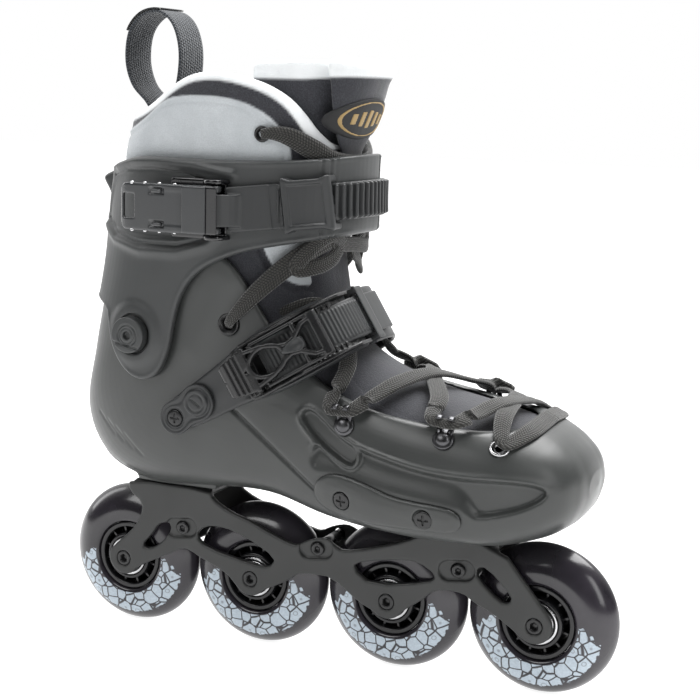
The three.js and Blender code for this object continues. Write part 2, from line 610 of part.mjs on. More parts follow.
const rect = (u0, u1, w0, w1) => [[u0, w0], [u1, w0], [u1, w1], [u0, w1]];
const ANCHORS = [[-69, 133.5], [-56, 143]];
const anchorHole = (side) =>
  union(...ANCHORS.map(([x, z]) => disc(SCREW_HOLE_R, x, z, ...onSide(side, 30, 80), 8)));

const ARM_THICK = 2.4;
const COVER_THICK = 2.2;

function makeInstepArm() {
  const arm = strapWall(0, ARM_THICK).intersect(instepSlab(ARM_SIDE, -80, -16));
  return arm.subtract(anchorHole(-1));
}

function makeMedialArm() {
  const arm = strapWall(0, 2.6).intersect(instepSlab(ARM_SIDE, -14, 80));
  const loop = strapWall(2, 10).intersect(instepSlab(rect(60, 130, -14.5, 14.5), -14, -6));
  const gate = strapWall(3.4, 7).intersect(instepSlab(rect(60, 130, -11.8, 11.8), -15, -5));
  return arm.add(loop).subtract(gate).subtract(anchorHole(1));
}

// The outer side's anchor: a round-ended cover over the arm's two fixings, and the screw in the lower one.
function makeAnchorCover() {
  const side = -1;
  const [[x0, z0], [x1, z1]] = ANCHORS;
  const low = STRAP.half + ARM_THICK + FIT;
  const cover = sideways(slot(x0, z0, x1, z1, 20), ...onSide(side, low, low + COVER_THICK));
  const knob = disc(7, x1, z1, ...onSide(side, low + 1, low + COVER_THICK + 1.2));
  return cover.add(knob).subtract(disc(SCREW_HOLE_R, x0, z0, ...onSide(side, 30, 80), 8));
}

function makeAnchorScrew() {
  const side = -1;
  const [x, z] = ANCHORS[0];
  const face = STRAP.half + ARM_THICK + FIT + COVER_THICK + RUN;
  return union(
    disc(4.4, x, z, ...onSide(side, face, face + 1.4), 10),
    disc(2, x, z, ...onSide(side, face - 9, face + 1), 8),
  );
}

const makeInstepLadder = () =>
  strapWall(4.2, 6.2).intersect(instepSlab(rect(54, 130, -10.8, 10.8), -80, 14));

// The buckle's own frame: u up along it, v towards the boot, w across.
const BUCKLE = { u: 67, v: -46, turn: 14, length: 54 };
const LEVER_PIN = { u: 21, v: -5.4 };
const TRIGGER_PIN = { u: 9, v: -6.4 };
const buckleFrame = instepFrame
  .clone()
  .multiply(moved(BUCKLE.u, BUCKLE.v, 0))
  .multiply(new THREE.Matrix4().makeRotationZ(radians(BUCKLE.turn)));

const buckleRod = (radius, { u, v }, w0, w1, segments = 12) => {
  const rod = new THREE.CylinderGeometry(radius, radius, w1 - w0, segments).rotateX(PI / 2);
  return solid(rod, buckleFrame.clone().multiply(moved(u, v, (w0 + w1) / 2)));
};

function makeInstepFrame() {
  const ends = [BUCKLE.u - BUCKLE.length / 2 - 3, BUCKLE.u + BUCKLE.length / 2];
  const tray = strapWall(ARM_THICK + FIT, 3.8).intersect(instepSlab(rect(...ends, -15.4, 15.4), -80, -20));
  const cheeks = [[-15.4, -13], [13, 15.4]].map((span) =>
    strapWall(3, 12).intersect(instepSlab(rect(ends[0] + 8, ends[1], ...span), -80, -20)),
  );
  const step = strapWall(3, 6.5).intersect(instepSlab(rect(ends[0], ends[0] + 10, -15.4, 15.4), -80, -20));
  const clear = strapWall(3.9, 6.6).intersect(instepSlab(rect(ends[0] + 6, ends[0] + 12, -13, 13), -80, -20));
  return union(tray, step.subtract(clear), ...cheeks, buckleRod(1.5, LEVER_PIN, -14, 14, 8));
}

const LEVER_SECTION = [
  [-37, -2.4], [-35, -5.6], [-22, -8.2], [8, -8.9], [19, -8.3], [23, -7.2], [23.6, -5], [22, -3.1],
  [18, -3.3], [8, -4.8], [-22, -4.4], [-35, -2.2],
];
const LEVER_WINDOWS = [[-20, -4, -8, 8], [-2, 14, -5, 5]];

function makeInstepLever() {
  let lever = carried(LEVER_SECTION, -12.4, 12.4, buckleFrame);
  for (const [u0, u1, w0, w1] of LEVER_WINDOWS)
    lever = lever.subtract(box([u0, u1], [-30, 10], [w0, w1], buckleFrame));
  for (const side of [-1, 1])
    lever = lever.subtract(box([0, 12], [-30, 10], side < 0 ? [-10.4, -7.6] : [7.6, 10.4], buckleFrame));
  return lever.add(buckleRod(1.2, TRIGGER_PIN, -6, 6, 8)).subtract(buckleRod(1.8, LEVER_PIN, -20, 20));
}

const TRIGGER_SECTION = [
  [-1, -9.5], [4, -10.3], [9, -9.3], [11.6, -7], [11.6, -5.5], [9, -4.1], [4, -6.5], [-1, -7.5],
];
const makeTrigger = () =>
  carried(TRIGGER_SECTION, -4.5, 4.5, buckleFrame).subtract(buckleRod(1.5, TRIGGER_PIN, -20, 20));

// ---- laces ----
const LACE_R = 1.8;
const HOOKS = {
  rear: (side) => (side < 0 ? [26, 143.5] : [33, 149]),
  front: (side) => (side < 0 ? [79.5, 140.5] : [77, 143]),
};
const HOOK_SECTION = [[2.2, -4], [3.4, -4], [3.4, 3.8], [8, 3.8], [8, -1], [9.2, -1.6], [9.2, 5], [2.2, 5]];
const HOOK_LACE = { out: 5.4, up: 0.9 };

// A hook's frame: out from the form's face, up along it, and forwards or backwards.
function hookFrame([x, z], side) {
  const reach = 4;
  const lean = faceAt(x, z + reach, side) - faceAt(x, z - reach, side);
  const up = V3(0, lean, 2 * reach).normalize();
  const out = V3(0, side * up.z, -side * up.y);
  return new THREE.Matrix4().makeBasis(out, up, V3(side, 0, 0)).setPosition(x, faceAt(x, z, side), z);
}

const makeHook = (at, side) => carried(HOOK_SECTION, -3.5, 3.5, hookFrame(at, side));

// A cord of round section through the given points.
function cord(points, radius = LACE_R) {
  const path = new THREE.CatmullRomCurve3(points, false, "centripetal");
  const shape = new THREE.Shape();
  for (let i = 0; i < 6; i++) {
    const a = (i * PI) / 3;
    if (i === 0) shape.moveTo(radius, 0);
    else shape.lineTo(radius * cos(a), radius * sin(a));
  }
  const steps = Math.round(path.getLength() / 11);
  return solid(new THREE.ExtrudeGeometry(shape, { steps, bevelEnabled: false, extrudePath: path }));
}

// The points where the lace goes through a hook, from the toe's side to the heel's.
function throughHook(hook, side) {
  const frame = hookFrame(hook(side), side);
  const { out, up } = HOOK_LACE;
  return [8, 4, -4, -8].map((ahead) =>
    V3(out, up + max(0, abs(ahead) - 5) * 0.3, side * ahead).applyMatrix4(frame),
  );
}

// Half of the lace, from the middle of the toe bar to the knot. side is where it starts.
function laceHalf(side) {
  const at = (along, degrees, height) => formPoint([along, side * degrees, height]);
  return [
    at(3.5, 0, 2.6), at(3.6, 30, 2.8), at(3.95, 51, 3.2), at(4.15, 43, 3), at(4.3, 22, 1.2),
    at(4.5, -10, 0.8), at(4.7, -34, 3), ...throughHook(HOOKS.front, -side),
    at(5.4, -32, 3.4), at(5.9, 0, 0), at(6.2, 24, 1), at(6.45, 44, 3.2),
    ...throughHook(HOOKS.rear, side), at(7.2, 48, 3.2), at(7.45, 34, 1), at(8, 14, -1),
    at(8.8, -14, -1), at(9.7, -33, -1.6), at(10.3, -44, 1.2), at(10.6, -54, 3), at(10.8, -64, 3.2),
    at(11.1, -54, 3), at(11.4, -40, 1), at(11.7, -20, 0.8), at(11.9, 0, 3),
  ];
}

function makeLace() {
  const knot = new THREE.IcosahedronGeometry(6, 1);
  const centre = formPoint([11.9, 0, 4.2]);
  return union(cord(laceHalf(-1)), cord(laceHalf(1)), solid(knot, moved(centre.x, centre.y, centre.z)));
}

function makeCollarLace() {
  const depth = -1.6;
  const half = [[17.05, 70], [16.9, 56], [16.6, 40], [16.2, 20]];
  const outer = half.map(([along, degrees]) => [along, -degrees, depth]);
  const inner = half.map(([along, degrees]) => [along, degrees, depth]).reverse();
  return cord([...outer, [16, 0, depth], ...inner].map(formPoint));
}

const group = new THREE.Group();
function add(name, body, finish) {
  const mesh = new THREE.Mesh(geometryOf(body), FINISH[finish].clone());
  mesh.name = name;
  group.add(mesh);
}

AXLE_X.forEach((x, i) => {
  const n = i + 1;
  add(`tyre_${n}`, makeTyre(x), "tyre");
  add(`hub_${n}`, makeHub(x), "hub");
  add(`bearing_lateral_${n}`, makeBearing(x, -1), "steel");
  add(`bearing_medial_${n}`, makeBearing(x, 1), "steel");
  add(`axle_${n}`, makeAxle(x), "darkSteel");
});
add("frame", makeFrame(), "frame");
BRACE.x.forEach((x, i) => add(`cross_brace_${i + 1}`, makeBrace(x), "darkSteel"));
FRAME_BOLT_X.forEach((x, i) => add(`frame_bolt_${i + 1}`, makeFrameBolt(x), "steel"));
add("shell", makeShell(), "shell");
for (const [word, side] of [["lateral", -1], ["medial", 1]]) {
  add(`side_guard_${word}`, makeGuard(side), "strap");
  add(`toe_eyelet_${word}`, makeEyelet(EYELETS.toe, side), "steel");
  add(`ankle_eyelet_${word}`, makeEyelet(EYELETS.ankle, side), "darkSteel");
  add(`lace_hook_${word}_1`, makeHook(HOOKS.front(side), side), "darkSteel");
  add(`lace_hook_${word}_2`, makeHook(HOOKS.rear(side), side), "darkSteel");
  add(`cuff_pivot_${word}`, makePivotBolt(side), "strap");
}
GUARD_SCREWS.forEach((at, i) => add(`guard_screw_${i + 1}`, makeGuardScrew(at, -1), "darkSteel"));
add("liner", makeLiner(), "liner");
add("tongue", makeTongue(), "fabric");
add("footbed", makeFootbed(), "foam");
add("pull_loop", makePullLoop(), "fabric");
add("lace", makeLace(), "lace");
add("collar_lace", makeCollarLace(), "lace");
add("cuff", makeCuff(), "cuff");
add("cuff_ladder", makeCuffLadder(), "strap");
add("cuff_buckle_base", makeBuckleBase(), "gloss");
add("cuff_buckle_lever", makeBuckleLever(), "gloss");
add("cuff_buckle_catch", makeBuckleCatch(), "strap");
add("instep_arm", makeInstepArm(), "strap");
add("instep_arm_medial", makeMedialArm(), "strap");
add("instep_anchor_cover", makeAnchorCover(), "strap");
add("instep_anchor_screw", makeAnchorScrew(), "darkSteel");
add("instep_ladder", makeInstepLadder(), "strap");
add("instep_buckle_frame", makeInstepFrame(), "strap");
add("instep_buckle_lever", makeInstepLever(), "strap");
add("instep_buckle_trigger", makeTrigger(), "strap");

export default group;
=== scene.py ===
"""The looks of an inline skate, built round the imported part. Lengths in the tables are millimetres, in the
row frame: +X to the toe, +Y to the inner (medial) side, +Z up. The outer side is y < 0."""

import json
import math

import bmesh
import bpy
import numpy as np
import openvdb
from mathutils import Matrix, Vector

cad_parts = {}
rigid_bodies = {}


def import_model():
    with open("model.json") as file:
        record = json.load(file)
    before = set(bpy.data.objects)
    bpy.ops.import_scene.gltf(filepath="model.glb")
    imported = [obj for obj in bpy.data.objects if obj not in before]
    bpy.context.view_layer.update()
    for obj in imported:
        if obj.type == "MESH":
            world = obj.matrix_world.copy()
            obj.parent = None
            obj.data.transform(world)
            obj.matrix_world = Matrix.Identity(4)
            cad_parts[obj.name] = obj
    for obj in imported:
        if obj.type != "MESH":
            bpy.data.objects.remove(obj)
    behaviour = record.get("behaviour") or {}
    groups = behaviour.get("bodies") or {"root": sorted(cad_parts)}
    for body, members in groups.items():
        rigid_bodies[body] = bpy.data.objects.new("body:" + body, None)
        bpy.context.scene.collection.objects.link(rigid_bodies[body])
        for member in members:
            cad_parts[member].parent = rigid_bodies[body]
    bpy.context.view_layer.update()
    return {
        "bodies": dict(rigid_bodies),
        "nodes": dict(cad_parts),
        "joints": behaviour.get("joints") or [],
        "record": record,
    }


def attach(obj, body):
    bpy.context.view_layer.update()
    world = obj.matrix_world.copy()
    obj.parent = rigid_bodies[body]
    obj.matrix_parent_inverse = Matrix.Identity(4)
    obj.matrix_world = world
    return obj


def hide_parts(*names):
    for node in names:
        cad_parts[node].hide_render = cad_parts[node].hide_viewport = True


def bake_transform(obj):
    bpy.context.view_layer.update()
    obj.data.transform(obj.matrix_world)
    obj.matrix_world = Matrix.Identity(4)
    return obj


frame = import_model()
MM = 0.001
TAG = {-1: "outer", 1: "inner"}
COARSE = 1.0  # larger voxels while trying things

# ---- the boot's form: ribs from the toe to the collar, as in the part ----
# Each row: the rib's outer end x, z, its inner end x, z, half width, low and high squareness, shift.
RIBS = np.array([
    (144.5, 106, 145, 120, 14, 2.2, 2.2, 4),
    (141, 98, 142, 127, 24, 2.4, 2.2, 4),
    (135, 92, 137, 133, 33, 2.8, 2.2, 3),
    (123, 87, 127, 140, 41, 3.6, 2.3, 2.5),
    (103, 83, 110, 147, 48, 4.4, 2.3, 2),
    (75, 82, 84, 153, 50, 4.4, 2.3, 1),
    (42, 81.5, 54, 160, 49, 4, 2.3, 0),
    (10, 84, 30, 170, 46, 3.6, 2.3, 0),
    (-26, 91, 15, 181, 44, 3.2, 2.4, 0),
    (-66, 90, 8, 194, 43.5, 3.2, 2.6, 0),
    (-104, 88, 6, 207, 44, 2.8, 2.8, 0),
    (-133, 98, 4, 218.5, 44.5, 2.5, 3, 0),
    (-147, 124, 4, 229, 45, 2.3, 3, 0),
    (-142, 158, 6, 240, 45.5, 2.3, 3, 0),
    (-137, 184, 8, 250, 45.5, 2.3, 3, 0),
    (-132, 212, 10, 261, 45.5, 2.3, 2.8, 0),
    (-129, 240, 13, 274, 45.5, 2.3, 2.7, 0),
    (-125, 268, 19, 289, 46, 2.3, 2.7, 0),
    (-121, 294, 25, 306, 46.5, 2.3, 2.7, 0),
    (-117, 330, 30, 334, 47, 2.3, 2.7, 0),
])
CUFF_RIBS = np.array([
    (-133, 98, -6, 190, 45, 2.6, 2.6, 0),
    (-146, 124, 6, 208, 45.5, 2.5, 2.6, 0),
    (-141, 158, 11, 222, 46, 2.5, 2.6, 0),
    (-134, 184, 14, 236, 46, 2.5, 2.5, 0),
    (-129, 212, 14, 248, 46, 2.4, 2.4, 0),
    (-126, 240, 14, 262, 46, 2.4, 2.4, 0),
    (-122, 268, 14.5, 278, 46, 2.4, 2.4, 0),
    (-118, 294, 15, 300, 46, 2.4, 2.4, 0),
])
RIB_POINTS = 96


def between(rows, along):
    """The row at a place along the rows, on a smooth course through them."""
    rows = np.asarray(rows, float)
    along = np.clip(np.asarray(along, float), 0, len(rows) - 1)
    i = np.minimum(along.astype(int), len(rows) - 2)
    t = (along - i)[..., None]
    a, b, c, d = (rows[np.clip(i + k, 0, len(rows) - 1)] for k in (-1, 0, 1, 2))
    return b + 0.5 * t * (c - a + t * (2 * a - 5 * b + 4 * c - d + t * (3 * (b - c) + d - a)))


def form_point(ribs, along, degrees, height=0.0):
    """Points of the form at places along it, at angles from the instep round to the inner side."""
    row = between(ribs, along)
    out, end = row[..., 0:2], row[..., 2:4]
    half, low, high, shift = (row[..., k] for k in range(4, 8))
    length = np.linalg.norm(end - out, axis=-1)
    a = np.radians(degrees)
    power = 2 / np.where(np.cos(a) > 0, high, low)
    far = (length / 2 + height) * np.sign(np.cos(a)) * np.abs(np.cos(a)) ** power
    across = (half + height) * np.sign(np.sin(a)) * np.abs(np.sin(a)) ** power
    middle = (out + end) / 2 + (end - out) / length[..., None] * far[..., None]
    return np.stack([middle[..., 0], shift + across, middle[..., 1]], -1)


def form_normal(ribs, along, degrees):
    """The outward direction of the form there."""
    one = form_point(ribs, along + 0.02, degrees) - form_point(ribs, along - 0.02, degrees)
    two = form_point(ribs, along, degrees + 1) - form_point(ribs, along, degrees - 1)
    normal = np.cross(one, two)
    return normal / np.linalg.norm(normal, axis=-1, keepdims=True)


def form_mesh(ribs, steps=6):
    """The form as points, quads and end triangles."""
    along = np.linspace(0, len(ribs) - 1, (len(ribs) - 1) * steps + 1)
    degrees = np.arange(RIB_POINTS) * 360 / RIB_POINTS
    rings = form_point(ribs, along[:, None], degrees[None, :])
    n, m = rings.shape[:2]
    ids = np.arange(n * m).reshape(n, m)
    turned = np.roll(ids, -1, axis=1)
    quads = np.stack([ids[:-1], turned[:-1], turned[1:], ids[1:]], -1).reshape(-1, 4)
    first = rings[0].mean(0) + np.array([1.2, 0, 0])
    points = np.vstack([rings.reshape(-1, 3), first, rings[-1].mean(0)])
    caps = [(n * m, turned[0, k], ids[0, k]) for k in range(m)]
    caps += [(n * m + 1, ids[-1, k], turned[-1, k]) for k in range(m)]
    return points, quads, np.array(caps)


# ---- fields of distance ----
class Field:
    """A box of voxels in a frame of its own."""

    def __init__(self, lo, hi, size, matrix=None):
        size = size * COARSE
        self.size = size
        self.first = [math.floor(a / size) - 3 for a in lo]
        self.shape = [math.ceil(b / size) + 4 - f for b, f in zip(hi, self.first)]
        axes = [((np.arange(n) + f) * size).astype(np.float32) for n, f in zip(self.shape, self.first)]
        self.u = axes[0][:, None, None]
        self.v = axes[1][None, :, None]
        self.w = axes[2][None, None, :]
        self.matrix = matrix

    def form(self, mesh, reach):
        """The distance to a form, minus inside, as far as reach."""
        points, quads, triangles = mesh
        grid = openvdb.FloatGrid.createLevelSetFromPolygons(
            points.astype(np.float32),
            triangles=triangles.astype(np.uint32),
            quads=quads.astype(np.uint32),
            transform=openvdb.createLinearTransform(voxelSize=self.size),
            halfWidth=reach / self.size,
        )
        values = np.zeros(self.shape, np.float32)
        grid.copyToArray(values, ijk=tuple(self.first))
        return values


def cut_corners(points, times=2):
    """A closed outline with its corners rounded off."""
    points = np.asarray(points, float)
    for _ in range(times):
        ahead = np.roll(points, -1, axis=0)
        pairs = np.stack([0.75 * points + 0.25 * ahead, 0.25 * points + 0.75 * ahead], 1)
        points = pairs.reshape(-1, 2)
    return points


def line_distance(points, p, q, closed=False):
    """The distance from each (p, q) to a line through points."""
    points = np.asarray(points, float)
    ends = np.roll(points, -1, axis=0) if closed else points[1:]
    best = np.full(np.broadcast_shapes(p.shape, q.shape), 1e9, np.float32)
    for (ax, az), (bx, bz) in zip(points, ends):
        dx, dz = bx - ax, bz - az
        t = np.clip(((p - ax) * dx + (q - az) * dz) / max(dx * dx + dz * dz, 1e-9), 0, 1)
        best = np.minimum(best, (p - ax - t * dx) ** 2 + (q - az - t * dz) ** 2)
    return np.sqrt(best)


def outline(points, p, q, corners=2):
    """The signed distance from each (p, q) to a closed outline, minus inside."""
    points = cut_corners(points, corners) if corners else np.asarray(points, float)
    inside = np.zeros(np.broadcast_shapes(p.shape, q.shape), bool)
    for (ax, az), (bx, bz) in zip(points, np.roll(points, -1, axis=0)):
        if az != bz:
            crosses = (az > q) != (bz > q)
            inside ^= crosses & (p < (bx - ax) * (q - az) / (bz - az) + ax)
    distance = line_distance(points, p, q, closed=True)
    return np.where(inside, -distance, distance)


def both(a, b, k=0.0):
    """Where both solids are, with the edge rounded by k."""
    if not k:
        return np.maximum(a, b)
    h = np.maximum(k - np.abs(a - b), 0) / k
    return np.maximum(a, b) + h * h * k / 4


def either(a, b, k=0.0):
    """Where either solid is, with the valley filled by k."""
    return -both(-a, -b, k)


def without(a, b, k=0.0):
    """The first solid without the second."""
    return both(a, -b, k)


def step(value, low, high):
    """A smooth rise from 0 at low to 1 at high."""
    t = np.clip((value - low) / (high - low), 0, 1)
    return t * t * (3 - 2 * t)


def hump(distance, width):
    """1 on a line, and fading out to 0 over a width."""
    return np.exp(-((distance / width) ** 2))


def span(value, low, high):
    """The distance to a slab between two values."""
    return np.abs(value - (low + high) / 2) - (high - low) / 2


def round_box(field, u, v, w, radius=0.6):
    """The distance to a box with rounded edges, given as three spans in a field."""
    parts = [span(axis, *ends) + radius for axis, ends in zip((field.u, field.v, field.w), (u, v, w))]
    outside = np.sqrt(sum(np.maximum(part, 0) ** 2 for part in parts))
    return outside + np.minimum(np.maximum(np.maximum(parts[0], parts[1]), parts[2]), 0) - radius


def pin(p, q, centre, radius):
    """The distance to a round pin seen end on."""
    return np.sqrt((p - centre[0]) ** 2 + (q - centre[1]) ** 2) - radius


# ---- meshes ----
def mesh_object(name, points, faces, uv=None):
    """An object in metres from points in millimetres and faces of three or four corners."""
    mesh = bpy.data.meshes.new(name)
    if isinstance(faces, np.ndarray):
        n = faces.shape[1]
        mesh.vertices.add(len(points))
        mesh.vertices.foreach_set("co", (np.asarray(points) * MM).astype(np.float32).ravel())
        mesh.loops.add(faces.size)
        mesh.loops.foreach_set("vertex_index", faces.astype(np.int32).ravel())
        mesh.polygons.add(len(faces))
        mesh.polygons.foreach_set("loop_start", np.arange(0, faces.size, n, dtype=np.int32))
    else:
        mesh.from_pydata([tuple(c * MM for c in p) for p in points], [], faces)
    mesh.update(calc_edges=True)
    mesh.polygons.foreach_set("use_smooth", np.ones(len(mesh.polygons), bool))
    if uv is not None:
        layer = mesh.uv_layers.new(name="course")
        corner = np.zeros(len(mesh.loops), np.int32)
        mesh.loops.foreach_get("vertex_index", corner)
        layer.data.foreach_set("uv", np.asarray(uv, np.float32)[corner].ravel())
    made = bpy.data.objects.new(name, mesh)
    bpy.context.scene.collection.objects.link(made)
    return made


def surface(name, field, values, smooth=2, whole=False):
    """The skin of a solid given as distances in a field, softened a little."""
    size = field.size
    values = np.clip(values, -3 * size, 3 * size).astype(np.float32)
    for axis in range(3):
        ends = np.moveaxis(values, axis, 0)
        ends[0] = ends[-1] = 3 * size
    grid = openvdb.FloatGrid(3 * size)
    grid.copyFromArray(np.ascontiguousarray(values), ijk=tuple(field.first), tolerance=1e-6)
    grid.transform = openvdb.createLinearTransform(voxelSize=size)
    points, quads = grid.convertToQuads(isovalue=0.0)
    quads = quads[:, ::-1].astype(np.int64)
    points = points.astype(float)
    if not whole:
        points, quads = largest(points, quads)
    edges = np.vstack([quads[:, [0, 1]], quads[:, [1, 2]], quads[:, [2, 3]], quads[:, [3, 0]]])
    count = np.bincount(edges[:, 0], minlength=len(points)) + 1e-9
    for move in (0.5, -0.52) * smooth:
        mean = np.stack([np.bincount(edges[:, 0], points[edges[:, 1], k], len(points)) for k in range(3)], 1)
        points = points + move * (mean / count[:, None] - points)
    if field.matrix is not None:
        points = points @ np.array(field.matrix.to_3x3()).T + np.array(field.matrix.translation)
    return mesh_object(name, points, quads)


def largest(points, quads):
    """The largest connected piece of a mesh, without crumbs."""
    label = np.arange(len(points))
    while True:
        low = label[quads].min(1)
        new = label.copy()
        order = np.argsort(-low, kind="stable")
        for k in range(4):
            new[quads[order, k]] = np.minimum(new[quads[order, k]], low[order])
        new = np.minimum(new, new[new])
        new = new[new]
        if (new == label).all():
            break
        label = new
    names, sizes = np.unique(label[quads[:, 0]], return_counts=True)
    kept = quads[label[quads[:, 0]] == names[sizes.argmax()]]
    used = np.unique(kept)
    place = np.zeros(len(points), np.int64)
    place[used] = np.arange(len(used))
    return points[used], place[kept]


# ---- shell ----
BOOT_FORM = form_mesh(RIBS)
CUFF_FORM = form_mesh(CUFF_RIBS)
SHELL_WALL = 3.4
CUFF_INNER, CUFF_OUTER = 1.4, 4.8  # the cuff's wall, as heights over its form
HOLE_FROM = 25  # holes through a side start this far from the middle
RIM = [
    (170, 146), (122, 143.5), (98, 141), (66, 143), (40, 147), (20, 153), (2, 163), (-15, 179), (-26, 196),
    (-35, 212), (-45, 221), (-60, 222), (-78, 212), (-96, 199), (-112, 189), (-170, 185), (-170, 400),
    (170, 400),
]
MEDIAL_RISE = {98: 3.5, 66: 7, 40: 7, 20: 7, 2: 7, -15: 3.5}
CHANNEL = [
    (24, 132.5), (34, 129), (46, 126), (68, 121.4), (89, 120), (109, 120.6), (124, 119.4), (130.5, 116.5),
    (130, 112), (122, 106), (98, 99), (90, 104), (50, 109), (26, 114), (10, 112), (6, 122), (14, 131),
]
CHANNEL_FOOT = [(130, 109), (118, 103.5), (98, 99), (90, 104), (50, 109), (26, 114), (8, 112), (2, 120)]
RECESS = [
    (3, 144), (8, 145.5), (25, 132), (34, 128.6), (35, 122), (31, 118.6), (20, 124), (9, 132), (1.5, 140),
]
SEAM = [(-42, 143), (-30, 134), (-8, 117), (12, 102), (22, 96)]
SEAM_STEP = [(-42, 143), (-30, 134), (-8, 117), (12, 102), (30, 88), (160, 60), (160, 170), (-20, 170)]
HEEL_LEDGE = [(-150, 137), (-144, 119), (-134, 106), (-120, 97), (-104, 93)]
HEEL_LINES = [[(-126 + 6 * k, 128 - 3.2 * k), (-115 + 6 * k, 117 - 3.2 * k)] for k in range(4)]
PIVOT = (-95, 176)
GUARD = [
    (10, 104), (12, 110), (18, 114), (26, 115.2), (40, 112.5), (55, 107.5), (72, 106.2), (85, 105.5),
    (91, 102.5), (92.5, 97), (89, 92.5), (80, 90.5), (30, 89.5), (16, 93.5), (10.5, 98.5),
]
GUARD_SCREWS = [(27.4, 101), (72, 98)]
TOE_EYELET = (106, 135)
ANKLE_EYELET = (-40, 185)
COLLAR_EYELET = (-23.7, 283)
ANCHORS = [(-69, 133.5), (-56, 143)]


def shell_relief(x, z):
    """How far the shell's side stands in from the form, minus where it stands out."""
    channel = outline(CHANNEL, x, z)
    below = line_distance(CHANNEL_FOOT, x, z)
    fade = 13 - 9 * step(x, 84, 104)
    inside = 3.6 * step(-channel, -0.7, 2.6) * step(below, 0, fade)
    inside -= 0.8 * hump(channel - 1.5, 1.3) * step(below, 6, 12)
    recess = outline(RECESS, x, z)
    inside = inside * (1 - step(-recess, -3.0, -0.5)) + 3.0 * step(-recess, -0.4, 1.2)
    inside -= 0.9 * hump(recess - 1.5, 1.0)
    ahead = outline(SEAM_STEP, x, z, corners=0)
    inside -= 0.7 * step(-ahead, 0, 3.5) * (1 - step(-ahead, 8, 44))
    inside += 1.3 * hump(line_distance(SEAM, x, z), 0.9)
    ledge = line_distance(HEEL_LEDGE, x, z)
    inside += 0.8 * hump(ledge, 1.1)
    for line in HEEL_LINES:
        inside += 0.45 * hump(line_distance(line, x, z), 0.7)
    inside -= 0.8 * hump(line_distance([(-62, 170), (-40, 205)], x, z), 9)
    return inside


def make_shell():
    field = Field((-158, -60, 76), (152, 62, 232), 0.8)
    form = field.form(BOOT_FORM, 7)
    x, z = field.u, field.w
    side = step(np.abs(field.v), 10, 20)
    relief = shell_relief(x, z)
    body = form + side * relief
    sole = either(
        round_box(field, (-112, -62), (-17, 17), (87.4, 97), 1.5),
        round_box(field, (58, 100), (-18, 18), (80.4, 90), 1.5),
    )
    body = either(body, sole, 3)
    body = without(body, form + SHELL_WALL + side * np.maximum(relief - 1.2, 0))
    medial = [(px, pz + MEDIAL_RISE.get(px, 0)) for px, pz in RIM]
    inner = step(field.v, -22, 22)
    above = outline(RIM, x, z, 3) * (1 - inner) + outline(medial, x, z, 3) * inner
    body = without(body, above, 1.8)
    for at, radius in ((PIVOT, 6.3), (TOE_EYELET, 3.3), (ANKLE_EYELET, 5.0), *((a, 2.4) for a in ANCHORS)):
        body = without(body, np.maximum(pin(x, z, at, radius), HOLE_FROM - np.abs(field.v)), 0.8)
    return surface("shell_body", field, body)


def make_guard(side):
    field = Field((4, side * 62 if side < 0 else 20, 86), (98, -20 if side < 0 else 62, 120), 0.6)
    form = field.form(BOOT_FORM, 5)
    x, z = field.u, field.w
    edge = outline(GUARD, x, z, 2)
    crown = form - 2.5 - 0.9 * step(-edge, 0, 9)
    body = both(both(crown, 0.3 - form), edge, 2.6)
    for at in GUARD_SCREWS:
        bowl = np.maximum(pin(x, z, at, 4.9), 1.9 - form)
        body = without(body, bowl, 0.6)
        body = without(body, pin(x, z, at, 2.2))
    return surface("side_guard_" + TAG[side], field, body)


# ---- cuff ----
CUFF_SIDE = [
    (-170, 191), (-118, 191), (-114, 176), (-107, 161), (-98, 153), (-88, 151), (-79, 156), (-73, 169),
    (-70, 185), (-66, 199), (-58, 210), (-47, 217), (-32, 223), (-14, 227), (4, 230), (24, 234), (60, 237),
    (60, 277), (22, 274), (0, 270.5), (-30, 269.4), (-60, 269.6), (-92, 270), (-106, 266.5), (-122, 262.5),
    (-170, 260),
]
CUFF_FIN = [
    (-118, 262.5), (-126, 260.5), (-134.5, 257.2), (-136, 254.6), (-131.5, 248), (-130, 242), (-133.6, 234),
    (-132.5, 230), (-127, 227), (-122, 240),
]
POCKET = [
    (-128, 232), (-121, 254), (-108, 262), (-84, 264.5), (-58, 262.5), (-44, 258), (-40, 246), (-42, 232),
    (-60, 226.5), (-90, 226), (-112, 228),
]
POCKET_LIP = [(-124, 231), (-112, 224.5), (-92, 220.5), (-68, 221), (-50, 226), (-40, 234)]
CREST = [(-112, 263.4), (-100, 266.4), (-80, 267), (-58, 266), (-36, 262.5)]
CREST_GROOVE = [(-116, 258), (-104, 262), (-84, 263.2), (-62, 261.6), (-44, 256.5)]


def cuff_relief(x, z):
    """How far the cuff's outer side stands in from its plain wall, minus where it stands out."""
    away = pin(x, z, PIVOT, 0)
    inside = -1.3 * (1 - step(away, 13.5, 19.5)) + 2.6 * (1 - step(away, 10.2, 11.0))
    edge = outline(CUFF_SIDE, x, z)
    inside -= 0.35 * hump(edge + 1.5, 1.1)
    return inside


def lever_relief(x, z):
    """The same for the pocket round the lever, on the outer side only."""
    inside = 1.2 * step(-outline(POCKET, x, z), 0, 3)
    inside -= 1.6 * hump(line_distance(POCKET_LIP, x, z), 2.4)
    inside += 1.3 * hump(line_distance([(a, b + 3.4) for a, b in POCKET_LIP], x, z), 1.3)
    inside -= 1.5 * hump(line_distance(CREST, x, z), 2.2)
    inside += 1.2 * hump(line_distance(CREST_GROOVE, x, z), 1.0)
    return inside


